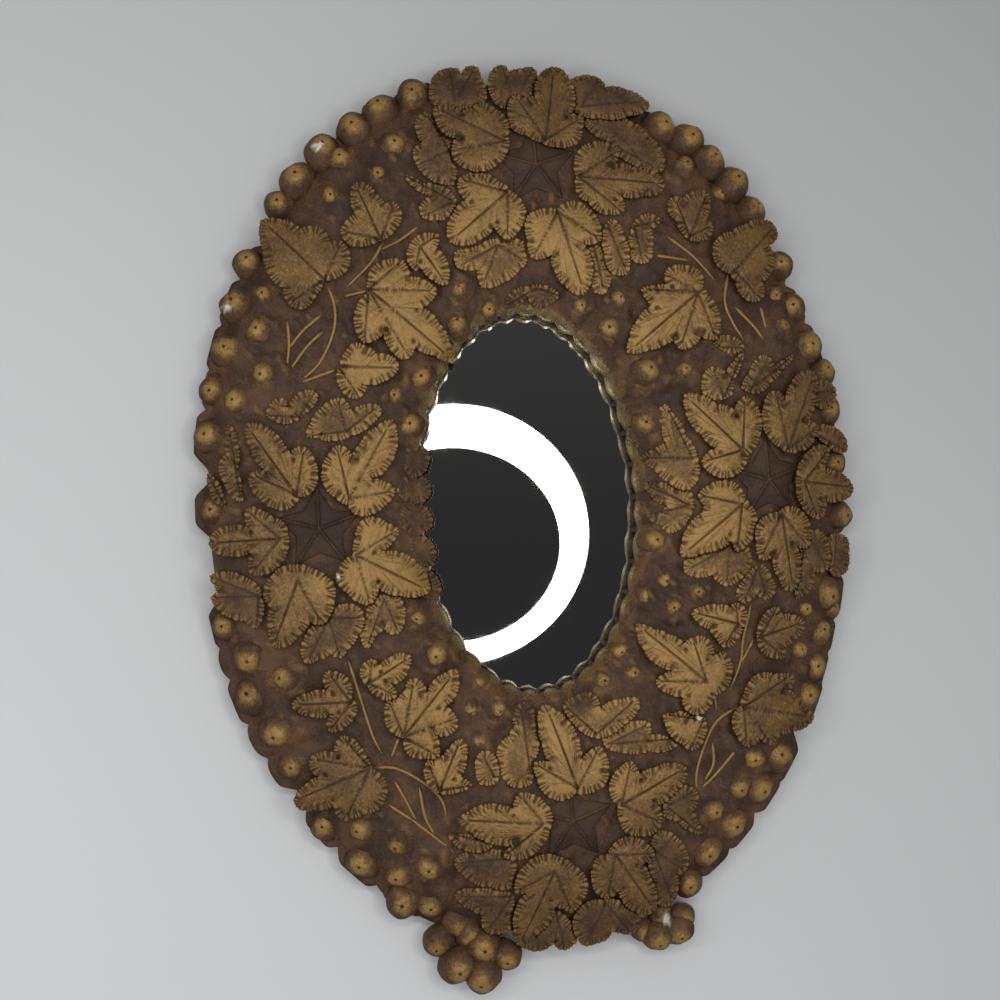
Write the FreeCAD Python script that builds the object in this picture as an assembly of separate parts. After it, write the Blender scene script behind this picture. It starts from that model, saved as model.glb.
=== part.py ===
import FreeCAD, Part
import math
import os

# Oval convex mirror in a domed frame covered with vine leaves, stems and grapes.
# Millimetres. X is to the right, the mirror faces -Y, Z is up, and the wall is the plane Y = 0.
# A height is a distance in front of the wall, so a point at height h lies at Y = -h.

# Domed oval band
oval_width = 298.0
oval_height = 402.0
sight_width = 105.0
sight_height = 180.0
crest_height = 25.0
crest_across = 0.47        # where the band is highest, from the sight edge at 0 to the outer edge at 1
edge_height = 10.0
sight_edge_height = 17.0
dome_steps = 5             # rings of the dome on each side of its crest

# Oval on which the places of leaves, stems and grapes are drawn, so that they spread with the band
drawing_width = 298.0
drawing_height = 402.0

# Carved ornament
leaf_thickness = 6.0
under_leaf_thickness = 3.0
stem_thickness = 1.8
stem_width = 2.0
stem_taper = 0.3           # share of its width that a stem loses to its far end
ornament_overhang = 11.0   # how far leaves may stand out past the band
ornament_back = 5.0        # height of the back of what stands out past the band
sight_overhang = 9.0       # how far leaves may reach over the glass
glue_line = 0.25
carving_gap = 0.25         # between neighbouring pieces
edge_bulge = 0.1           # rise of each stretch of a leaf's edge over its chord
large_grape = 9.4
middle_grape = 8.0
small_grape = 6.4
grape_sink = 3.0           # centre of a grape below the band's surface
wall_clearance = 1.5       # grapes stay this far off the wall
star_radius = 17.0
star_waist = 5.0
star_height = 4.5
star_root = 1.5            # its foot lies this far below the band at its middle
smallest_chip = 12.0       # cubic millimetres, offcuts below this fall away

# Glass and what holds it
rebate_width = 6.0
glass_thickness = 2.5
glass_radius = 700.0       # of the bend along the glass's height
glass_clearance = 0.5
seat_gap = 0.2
packing_width = 9.0
packing_thickness = 1.0    # at its outer edge
board_thickness = 3.0

# Back
pad_thickness = 4.0
pad_radius = 8.0
pad_inset = 14.0
pad_angles = [32.0, 148.0, 212.0, 328.0]
screw_radius = 1.5
screw_head_radius = 3.2
screw_head_thickness = 1.1
screw_length = 11.0
screw_point_radius = 0.2
screw_slot_width = 0.8
pilot_clearance = 0.04
running_gap = 0.3

# Turn buttons
button_angles = [45.0, 135.0, 225.0, 315.0]
button_thickness = 1.2
button_width = 11.0
button_reach = 18.0
button_tail = 3.0
button_setback = 10.0      # pivot outside the rebate

# Hanger in its pocket
pocket_width = 28.0
pocket_bottom = 114.0
pocket_top = 176.0
pocket_depth = 6.0
hanger_axis_z = 150.0
hanger_plate_width = 14.0
hanger_plate_length = 34.0
hanger_plate_thickness = 1.2
barrel_width = 12.0
barrel_wall = 1.2
ring_wire_radius = 1.5
ring_half_width = 9.0
ring_leg = 3.0
ring_corner = 2.5
hanger_screw_places = [7.0, 25.0]   # below the ring's axis

# Cutting
run_out = 1.0              # cuts run this far past the faces that they go through

# Worked out from the sizes above
oval_a = oval_width / 2
oval_b = oval_height / 2
sight_a = sight_width / 2
sight_b = sight_height / 2
back_height = pad_thickness
tallest = crest_height + leaf_thickness + 4 * large_grape
rebate_a = sight_a + rebate_width
rebate_b = sight_b + rebate_width
glass_a = rebate_a - glass_clearance
glass_b = rebate_b - glass_clearance
pocket_floor = back_height + pocket_depth

Vector = FreeCAD.Vector
forward = Vector(0, -1, 0)


def glass_drop(z):
    # How far the bent glass falls from its middle to a place along its height.
    return glass_radius - math.sqrt(glass_radius ** 2 - z ** 2)


# Board, packing and glass are stacked from the back, and the glass meets the ledge at the sight's edge.
packing_low = back_height + board_thickness + seat_gap
packing_top = packing_low + packing_thickness + glass_drop(glass_b)
glass_top = packing_top + seat_gap + glass_thickness
ledge_contact = glass_b * min(sight_a / glass_a, sight_b / glass_b)
rebate_height = glass_top - glass_drop(ledge_contact) + seat_gap


def at(x, z, height):
    return Vector(x, -height, z)


def drawn(point):
    # A place on the drawing, carried to the band as it is sized now.
    return (point[0] * oval_width / drawing_width, point[1] * oval_height / drawing_height)


def ellipse(a, b, height):
    curve = Part.Ellipse(at(0, b, height), at(a, 0, height), at(0, 0, height))
    return Part.Wire([curve.toShape()])


def oval_prism(a, b, low, high):
    return Part.Face(ellipse(a, b, low)).extrude(forward * (high - low))


def disc_prism(x, z, radius, low, high):
    return Part.makeCylinder(radius, high - low, at(x, z, low), forward)


def disc(place, radius):
    x, z = drawn(place)
    return Part.Face(Part.Wire([Part.Circle(at(x, z, 0), forward, radius).toShape()]))


def crest_axes():
    a = sight_a + (oval_a - sight_a) * crest_across
    b = sight_b + (oval_b - sight_b) * crest_across
    return a, b


def domed_band(lift, grow, base, lip=0.0):
    # The band's outside, a quarter-ellipse section up to the crest and another down to the sight edge.
    # It can be lifted, grown outwards and given a lip into the sight.
    crest_a, crest_b = crest_axes()
    edge_a = sight_a - lip
    edge_b = sight_b - lip
    outer = [ellipse(oval_a + grow, oval_b + grow, base)]
    for step in range(dome_steps + 1):
        turn = math.pi / 2 * step / dome_steps
        inward = 1 - math.cos(turn)
        a = oval_a + grow - (oval_a + grow - crest_a) * inward
        b = oval_b + grow - (oval_b + grow - crest_b) * inward
        outer.append(ellipse(a, b, edge_height + lift + (crest_height - edge_height) * math.sin(turn)))
    inner = [ellipse(edge_a, edge_b, base - run_out), ellipse(edge_a, edge_b, sight_edge_height + lift)]
    for step in range(1, dome_steps + 1):
        turn = math.pi / 2 * step / dome_steps
        outward = 1 - math.cos(turn)
        rise = (crest_height - sight_edge_height) * math.sin(turn)
        a = edge_a + (crest_a - edge_a) * outward
        b = edge_b + (crest_b - edge_b) * outward
        inner.append(ellipse(a, b, sight_edge_height + lift + rise))
    return Part.makeLoft(outer, True, True).cut(Part.makeLoft(inner, True, True))


def ornament_layer(thickness):
    # What leaves are cut from: it covers the band, stands out past it and reaches in over the glass.
    under = sight_edge_height + glue_line
    reach = oval_prism(sight_a + run_out, sight_b + run_out, under, sight_edge_height + thickness)
    hole = oval_prism(sight_a - sight_overhang, sight_b - sight_overhang, back_height, tallest)
    return domed_band(thickness, ornament_overhang, ornament_back).fuse(reach.cut(hole))


def band_height(x, z):
    # Height of the band's surface in front of the wall at a place, and at its rim outside it.
    low, high = 0.0, 1.0
    for halving in range(30):
        across = (low + high) / 2
        a = sight_a + (oval_a - sight_a) * across
        b = sight_b + (oval_b - sight_b) * across
        if (x / a) ** 2 + (z / b) ** 2 > 1:
            low = across
        else:
            high = across
    if across > crest_across:
        slide = (across - crest_across) / (1 - crest_across)
        return edge_height + (crest_height - edge_height) * math.sqrt(max(0.0, 1 - slide ** 2))
    slide = 1 - across / crest_across
    return sight_edge_height + (crest_height - sight_edge_height) * math.sqrt(max(0.0, 1 - slide ** 2))


def corner_bulge(before, here, after):
    # Bulge of the arcs at a corner of a leaf: full, but less in a narrow notch, where they would cross.
    back = Vector(before[0] - here[0], before[1] - here[1], 0)
    ahead = Vector(after[0] - here[0], after[1] - here[1], 0)
    if ahead.cross(back).z > 0:
        return edge_bulge
    return min(edge_bulge, math.tan(back.getAngle(ahead) / 5) / 2)


def leaf_outline(points, grow=0.0):
    # Places round the leaf's edge, joined by arcs that all bulge outwards, so that they meet in its notches.
    corners = [drawn(point) for point in points]
    turns = zip(corners, corners[1:] + corners[:1])
    if sum(here[0] * after[1] - after[0] * here[1] for here, after in turns) < 0:
        corners.reverse()
    spread = []
    bulges = []
    for before, here, after in zip(corners[-1:] + corners[:-1], corners, corners[1:] + corners[:1]):
        outward = Vector(after[1] - before[1], before[0] - after[0], 0).normalize()
        spread.append((here[0] + grow * outward.x, here[1] + grow * outward.y))
        bulges.append(corner_bulge(before, here, after))
    edges = []
    for index, here in enumerate(spread):
        after = spread[index - len(spread) + 1]
        bulge = min(bulges[index], bulges[index - len(spread) + 1])
        middle = ((here[0] + after[0]) / 2 + bulge * (after[1] - here[1]),
                  (here[1] + after[1]) / 2 - bulge * (after[0] - here[0]))
        edges.append(Part.Arc(*[at(x, z, 0) for x, z in (here, middle, after)]).toShape())
    return Part.Wire(edges)


def stem_outline(points, grow=0.0):
    # A strip along a smooth line through the drawn points, tapering a little to its far end.
    line = Part.BSplineCurve()
    line.interpolate([at(*drawn(p), 0) for p in points])
    first, last = line.FirstParameter, line.LastParameter
    sides = [[], []]
    for step in range(len(points)):
        share = step / (len(points) - 1)
        parameter = first + (last - first) * share
        place = line.value(parameter)
        along = line.tangent(parameter)[0]
        across = Vector(along.z, 0, -along.x) * (stem_width / 2 * (1 - stem_taper * share) + grow)
        sides[0].append(place + across)
        sides[1].append(place - across)
    curves = []
    for side in sides:
        curve = Part.BSplineCurve()
        curve.interpolate(side)
        curves.append(curve.toShape())
    ends = [Part.LineSegment(sides[0][0], sides[1][0]).toShape(),
            Part.LineSegment(sides[0][-1], sides[1][-1]).toShape()]
    return Part.Wire(Part.__sortEdges__([curves[0], ends[1], curves[1], ends[0]]))


def upright(patch):
    # A solid straight out from the wall over a flat patch.
    return patch.extrude(forward * tallest)


def solids_of(shape):
    kept = [solid for solid in shape.Solids if solid.Volume > smallest_chip]
    return sorted(kept, key=lambda solid: -solid.Volume)


def trimmed(patch, laid):
    # What is left of a flat patch beside the patches that were laid first.
    box = patch.BoundBox
    for other_box, other in laid:
        if box.intersect(other_box):
            patch = patch.cut(other)
    return patch


def raised(patch, layer, seat):
    # The part of a layer over the band that lies on a patch.
    solids = []
    for face in patch.Faces:
        solids += solids_of(upright(face).common(layer).cut(seat))
    return solids


def clear_of(solid, x, z, reach, laid):
    # A round piece cut back to the patches that come within its reach.
    middle = Part.Vertex(at(x, z, 0))
    for box, patch in laid:
        if middle.distToShape(patch)[0] < reach:
            solid = solid.cut(upright(patch))
    return solid


def write(name, solids):
    shape = solids[0] if len(solids) == 1 else Part.makeCompound(solids)
    shape.exportStep("parts/" + name + ".step")
    print(name, len(solids), "solids", round(shape.Volume), "mm3", shape.isValid())


# Drawn places round the edge of each leaf
rosette_leaves = {
    "top": [
        [(-12, 188.5), (-5, 184.5), (-0.5, 180), (-0.3, 172), (-2, 163), (-6.5, 158), (-14.5, 155),
         (-20, 156), (-25.5, 159.5), (-27.5, 165.5), (-25, 171.5), (-30.5, 174), (-34, 181),
         (-34.3, 187), (-28, 187.5), (-21.5, 184.5), (-16.5, 185.5)],
        [(4, 192), (10, 189.5), (14, 191), (16.5, 200.5), (20, 204.6), (24.6, 206.3), (28.6, 205),
         (31.5, 199), (33, 193), (30.5, 181.5), (35.8, 180), (35, 174), (33, 168), (29, 165.7),
         (22, 165.5), (15, 168), (8.5, 171.5), (1, 175.5), (0.3, 181), (1.5, 189)],
        [(30.3, 151), (30, 158), (33, 164), (38, 167), (48.5, 166.3), (52.3, 163.5), (49, 156.5),
         (58, 155), (70, 151.5), (72.8, 146.5), (70.5, 142.3), (62, 141), (51, 141), (52.7, 136),
         (51.5, 133.3), (45, 132.5), (39, 134.5), (35.5, 139), (31, 141.5), (29.7, 146)],
        [(20.5, 136), (24, 138.7), (30, 139.2), (35, 135.7), (39, 131.5), (40.3, 120.5), (32, 118.8),
         (35, 113), (35, 103), (31, 95.8), (28, 95.4), (22.5, 99.5), (17.5, 107), (16.3, 114.8),
         (7.3, 113), (5.4, 122), (5.5, 132.5), (8, 134.7)],
        [(-20.5, 154.3), (-13, 154), (-6.5, 150), (-1, 145), (4.5, 139), (5.5, 134), (2, 127),
         (-4, 122.3), (-9.8, 128.5), (-16, 123.5), (-24, 120.6), (-31, 122.5), (-32, 129), (-28.5, 136),
         (-22.5, 142), (-25.7, 147), (-25, 152)]],
    "right": [
        [(103.5, 15.5), (101.5, 10), (98, 7.2), (91, 5.8), (86, 8), (81.4, 13.8), (84, 17.7), (88.8, 20),
         (82, 26.8), (77.5, 32), (75.2, 39), (75, 46), (80, 46.2), (90, 40.7), (99, 37.3), (100.2, 40.8),
         (104.2, 43.8), (108, 41.5), (111.5, 33), (110.5, 25.5)],
        [(125, 16), (119.5, 19), (114.5, 24), (112, 30), (113, 38), (116.5, 45), (119.8, 46),
         (124.5, 41.3), (127.5, 48.5), (135, 55), (140.5, 54), (141.5, 50), (140, 42), (135.5, 31.5),
         (140, 27.5), (138, 22.5), (134, 18), (130, 16.5)],
        [(126.8, 0), (127.5, 6), (130.5, 12.5), (135, 17), (140, 19.2), (145.3, 17.5), (143, 11),
         (141.7, 7.8), (148, 6), (154.5, 2.5), (157.7, -2), (155.5, -5.8), (149, -8), (141.5, -7.7),
         (140.2, -14.5), (137, -16.2), (132.5, -14), (128.7, -9)],
        [(117, -11.8), (122, -9.2), (127, -10.5), (131.5, -16), (132.5, -23), (131, -29.2), (125, -28.7),
         (126.5, -37), (124.5, -46), (122, -49.3), (118.5, -49), (115.5, -43.5), (112.7, -32.8),
         (106.5, -33.8), (105.3, -25), (106, -17), (111, -13)],
        [(101, -4.5), (99, 0.8), (95.5, 4), (90.5, 4.6), (84, 2.8), (78.7, -1.5), (81.5, -6.5),
         (80.5, -9.8), (72.5, -17), (69.8, -23.5), (68.8, -29.8), (80, -28.7), (93.5, -23.8),
         (95.5, -29.2), (101, -26), (105.5, -18.5), (105.8, -11.5), (103, -7)]],
    "bottom": [
        [(11.5, -136), (7, -138.7), (1.5, -138), (-3, -134.5), (-5.5, -128), (-6.6, -120.7), (0.8, -121),
         (-2, -112), (-3, -104), (-2.3, -97), (1, -94.5), (5, -97), (10, -102), (14, -108.5),
         (15.5, -115), (15.8, -121), (20, -117), (24.5, -115.2), (27, -118.5), (27.8, -127),
         (26.5, -132), (23, -135)],
        [(31.3, -143.5), (27.6, -136), (29, -130.5), (33, -126), (38.8, -123), (42.3, -129.5),
         (50, -127), (58, -125.5), (64.8, -128), (64.5, -133), (59, -138.8), (50.5, -144.5), (52, -153),
         (48.5, -157), (41.5, -158.2), (35, -156.5), (31.5, -150)],
        [(18, -170.5), (20, -166.5), (25.5, -165.3), (28, -161), (33, -158.3), (38.5, -158.2),
         (44, -162), (47.8, -167), (41.7, -171.3), (45, -178), (48.2, -188.5), (47, -194.5),
         (44, -195.8), (37, -193.5), (31.5, -188), (29.7, -183), (24, -186.2), (19.3, -183.3),
         (17.2, -177)],
        [(-13, -166.7), (-6.5, -163.2), (2, -164.3), (9, -169.3), (14.5, -175), (15, -180.5),
         (12.5, -186), (7.3, -191.3), (3.5, -189), (-0.7, -187.3), (-2, -193), (-8, -199.5),
         (-14.5, -204.3), (-18, -205.5), (-19.9, -197), (-18.5, -187), (-13.5, -180.5), (-18.7, -179.5),
         (-18, -173.5)],
        [(-43.5, -144), (-38, -140.3), (-30, -138), (-22, -139.2), (-17.5, -141.3), (-17, -137.5),
         (-14.5, -134), (-8, -134.8), (-3, -139), (0.3, -145), (-1.5, -152), (-5.5, -158.8), (-13, -164),
         (-18, -164.3), (-23.5, -162.7), (-18.5, -157.2), (-25, -157), (-32.5, -154), (-38, -150)]],
    "left": [
        [(-107, 8.2), (-109.5, 4.8), (-113.5, 2.4), (-119, 3.5), (-125, 8.3), (-129.7, 16), (-128.5, 20),
         (-124, 21.7), (-121, 20), (-125.5, 25), (-127.7, 31), (-129.5, 42.7), (-125, 43),
         (-118.5, 39.5), (-112.5, 32), (-110.3, 28), (-106.5, 31.2), (-103.5, 30.8), (-99, 24),
         (-98.2, 18), (-99.5, 12.5), (-102.5, 9)],
        [(-85, 3), (-91, 7), (-95.5, 12.5), (-96.5, 18.5), (-93, 26.5), (-88.8, 30.7), (-85.5, 30.2),
         (-82, 25.7), (-78.5, 30.2), (-70, 38.5), (-62.5, 41.6), (-60.4, 34), (-62, 26), (-65.5, 20),
         (-69.5, 16), (-74.5, 15), (-66.5, 12.7), (-62.8, 8.5), (-69, 1.3), (-74.5, -1.7), (-79, -2.4),
         (-83.5, -0.3)],
        [(-84, -19.5), (-82.7, -12), (-81, -6.5), (-77, -3), (-73.5, -3), (-68, -6), (-62.3, -9.5),
         (-64.5, -14), (-71.2, -19.2), (-62, -20), (-54, -26), (-50, -33.5), (-49.4, -38.8),
         (-54, -40.6), (-63, -40), (-73.5, -35.8), (-75, -40), (-77.5, -43), (-81, -42.7), (-88, -37),
         (-92.8, -30.5), (-91, -25.5)],
        [(-116.5, -23.3), (-112, -22.7), (-102, -25.5), (-97, -29), (-93.4, -33.5), (-94, -40),
         (-96, -46.5), (-100, -50.8), (-105.7, -49.2), (-111, -55), (-117.5, -60), (-123, -59.5),
         (-124.3, -53), (-122.8, -41.5), (-125.7, -37), (-125.3, -32), (-121.5, -27)],
        [(-113.4, -8), (-114.5, -3.5), (-119.5, -0.8), (-124, 2.5), (-128, 4.7), (-131.7, 3.8),
         (-131.5, -4.3), (-140, -3.3), (-146, -5), (-149.5, -10.5), (-147, -14.5), (-140, -17),
         (-130.3, -15.8), (-131.8, -23), (-131, -26.1), (-122, -25.7), (-116.5, -21), (-113.8, -16)]],
}

sprig_leaves = {
    "upper_left": [
        [(-90, 107), (-80, 110.5), (-77.5, 118), (-81, 125), (-86.5, 125), (-90, 132.3), (-99.5, 132),
         (-109, 137.5), (-117.5, 138), (-117, 123), (-113, 107.5), (-109, 105), (-107, 97), (-100, 94),
         (-94, 101)],
        [(-63, 124.5), (-77, 122.5), (-81.5, 130), (-74, 137.5), (-75.5, 147), (-73.5, 152.3),
         (-68.5, 152), (-64, 146.5), (-60, 141.5), (-55.5, 142.3), (-52.5, 136), (-56, 129)],
        [(-45, 126.5), (-36, 126), (-37.5, 119.7), (-32.4, 112.5), (-33.5, 102.3), (-40, 105),
         (-45, 111), (-48, 109.8), (-51.5, 115.5), (-50, 121.5)],
        [(-70, 106), (-68.5, 111), (-63, 115), (-53.5, 115), (-50.5, 107), (-44, 105.3), (-38, 100),
         (-45.5, 92.5), (-38, 85), (-33.5, 76), (-32, 67.3), (-41.5, 70.5), (-50, 74.3), (-53, 69.5),
         (-57.5, 69.3), (-64.5, 81), (-73.5, 77), (-77.5, 86), (-76, 94), (-70.5, 100.5)],
        [(-85.2, 67), (-87, 62.5), (-85, 56), (-82, 52.5), (-77, 52), (-73, 58), (-66.5, 58.7), (-58, 65),
         (-60, 70), (-68, 72), (-72.5, 75.5), (-78, 77.5), (-82, 74)]],
    "upper_right": [
        [(82.5, 119.5), (79, 123), (77, 128.5), (73.3, 133), (74, 138.5), (77, 140.2), (81, 139),
         (88, 143), (94, 142.5), (94.5, 137), (92, 129), (95, 126), (93, 120.5), (87.5, 118.5)],
        [(101.5, 102.5), (95, 107), (93.8, 115), (97, 120), (104, 122.7), (111, 126), (121, 129),
         (128, 127), (128.5, 121), (123, 116), (124.8, 110), (122, 102), (117, 98.2), (118, 93),
         (116, 89.5), (110.5, 88.8), (106, 92), (104, 99)],
        [(87.5, 97), (87.5, 102.5), (84.5, 105.5), (79, 107), (72.5, 106.8), (69.5, 103.5), (70, 98.3),
         (64.5, 98), (57.8, 96.8), (60.5, 91), (62, 88.5), (55, 82), (51, 74), (49.8, 67.2), (60, 68),
         (68, 70.3), (72, 72.2), (74.5, 67.5), (80, 68.3), (85, 73), (92.5, 71.3), (95, 80), (93, 88),
         (89.5, 92.5)]],
    "lower_right": [
        [(72, -56), (78, -53.8), (85, -53.4), (90.3, -54.8), (93.2, -53), (97, -55), (98.5, -59),
         (96, -65), (93, -70), (90, -73.2), (86, -73.5), (83, -69), (80, -64.5), (74, -60.5)],
        [(102.5, -70), (105, -62), (109.5, -57), (113.5, -56.3), (116, -60), (121, -60.5), (126.5, -64),
         (126, -68), (121, -72.3), (116.2, -75.3), (115.5, -80), (109, -80), (103.8, -76)],
        [(46, -60), (54, -63), (60, -65.5), (67.5, -70.5), (71.5, -68), (77, -67.7), (80.8, -72),
         (81, -77.5), (86, -75.3), (89, -79.5), (89.2, -87), (86.5, -92.3), (81, -95.5), (78, -100),
         (73.5, -104), (68.5, -103.3), (65, -99), (65, -95.2), (59, -93.3), (54, -90), (53, -87),
         (57, -84), (61.5, -82.7), (54, -79.5), (48.5, -72), (46, -65)],
        [(92.5, -101.5), (94.5, -96), (97, -91), (101.5, -87.2), (107, -86.7), (109.7, -88),
         (114, -87.8), (119, -88.3), (120, -93), (116.5, -95.5), (122, -100.5), (127, -106), (130, -110),
         (126, -114), (118, -115.3), (111.5, -116), (107, -121), (102, -117.8), (94.5, -121), (90, -115),
         (88, -109.5), (89.3, -104.5)],
        [(55.5, -102.5), (60, -102.8), (64.5, -101.8), (68, -104.8), (74.8, -105.5), (75.5, -109),
         (74.5, -114.5), (71, -119.5), (67, -120.3), (63.5, -117), (58.5, -113), (56, -107.5)]],
    "lower_left": [
        [(-88.7, -85), (-89.2, -77), (-94, -73), (-99.3, -72), (-101.3, -76), (-99.5, -80.7),
         (-108, -81.5), (-113.5, -83.3), (-116, -86.5), (-113.5, -89.7), (-108, -92), (-101, -93),
         (-98, -91), (-100.5, -95.5), (-99.8, -99.5), (-96, -100), (-91.5, -97.5), (-87.5, -93),
         (-86.3, -89.5)],
        [(-81, -80), (-84.3, -75), (-83, -70.3), (-78, -67.8), (-75.3, -71.2), (-70, -67.8), (-65, -66),
         (-60.3, -68), (-61.7, -73.5), (-65.5, -78.7), (-70.3, -80), (-67.8, -85.5), (-72, -87.3),
         (-77, -85.3)],
        [(-65.8, -105), (-73, -100), (-74, -92), (-72, -86.5), (-67.5, -86.5), (-64, -83.5),
         (-62.5, -79), (-59.5, -77.8), (-55.3, -81), (-54, -85.5), (-51.5, -80.7), (-46, -77),
         (-39.5, -75.3), (-38.8, -80), (-40.5, -87), (-46, -91.7), (-41, -97.5), (-40.8, -101.5),
         (-47, -105.7), (-51, -104.3), (-50, -110), (-50.3, -114.8), (-57, -114.8), (-63.5, -113.5),
         (-66, -109.5)],
        [(-51, -131.3), (-55.5, -127.5), (-57.7, -122.5), (-56, -116), (-50.7, -115.3), (-48, -114),
         (-45, -110.5), (-39.8, -107), (-37.4, -110), (-37.6, -116), (-41, -124.5), (-36, -128.8),
         (-42.5, -131.3)],
        [(-81.5, -117.7), (-83.5, -112.5), (-86.5, -106.8), (-90, -103), (-94, -102), (-97, -105),
         (-98, -109.3), (-104.5, -109), (-109.2, -111.5), (-108.8, -117), (-105.5, -120), (-112, -123.5),
         (-117.7, -130.5), (-115, -134.8), (-108, -135), (-99.5, -133.8), (-98, -138.3), (-95, -141),
         (-91.5, -140), (-85.5, -138), (-80, -137), (-76.3, -132.5), (-74.8, -126), (-77.5, -120.5)]],
}

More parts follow.
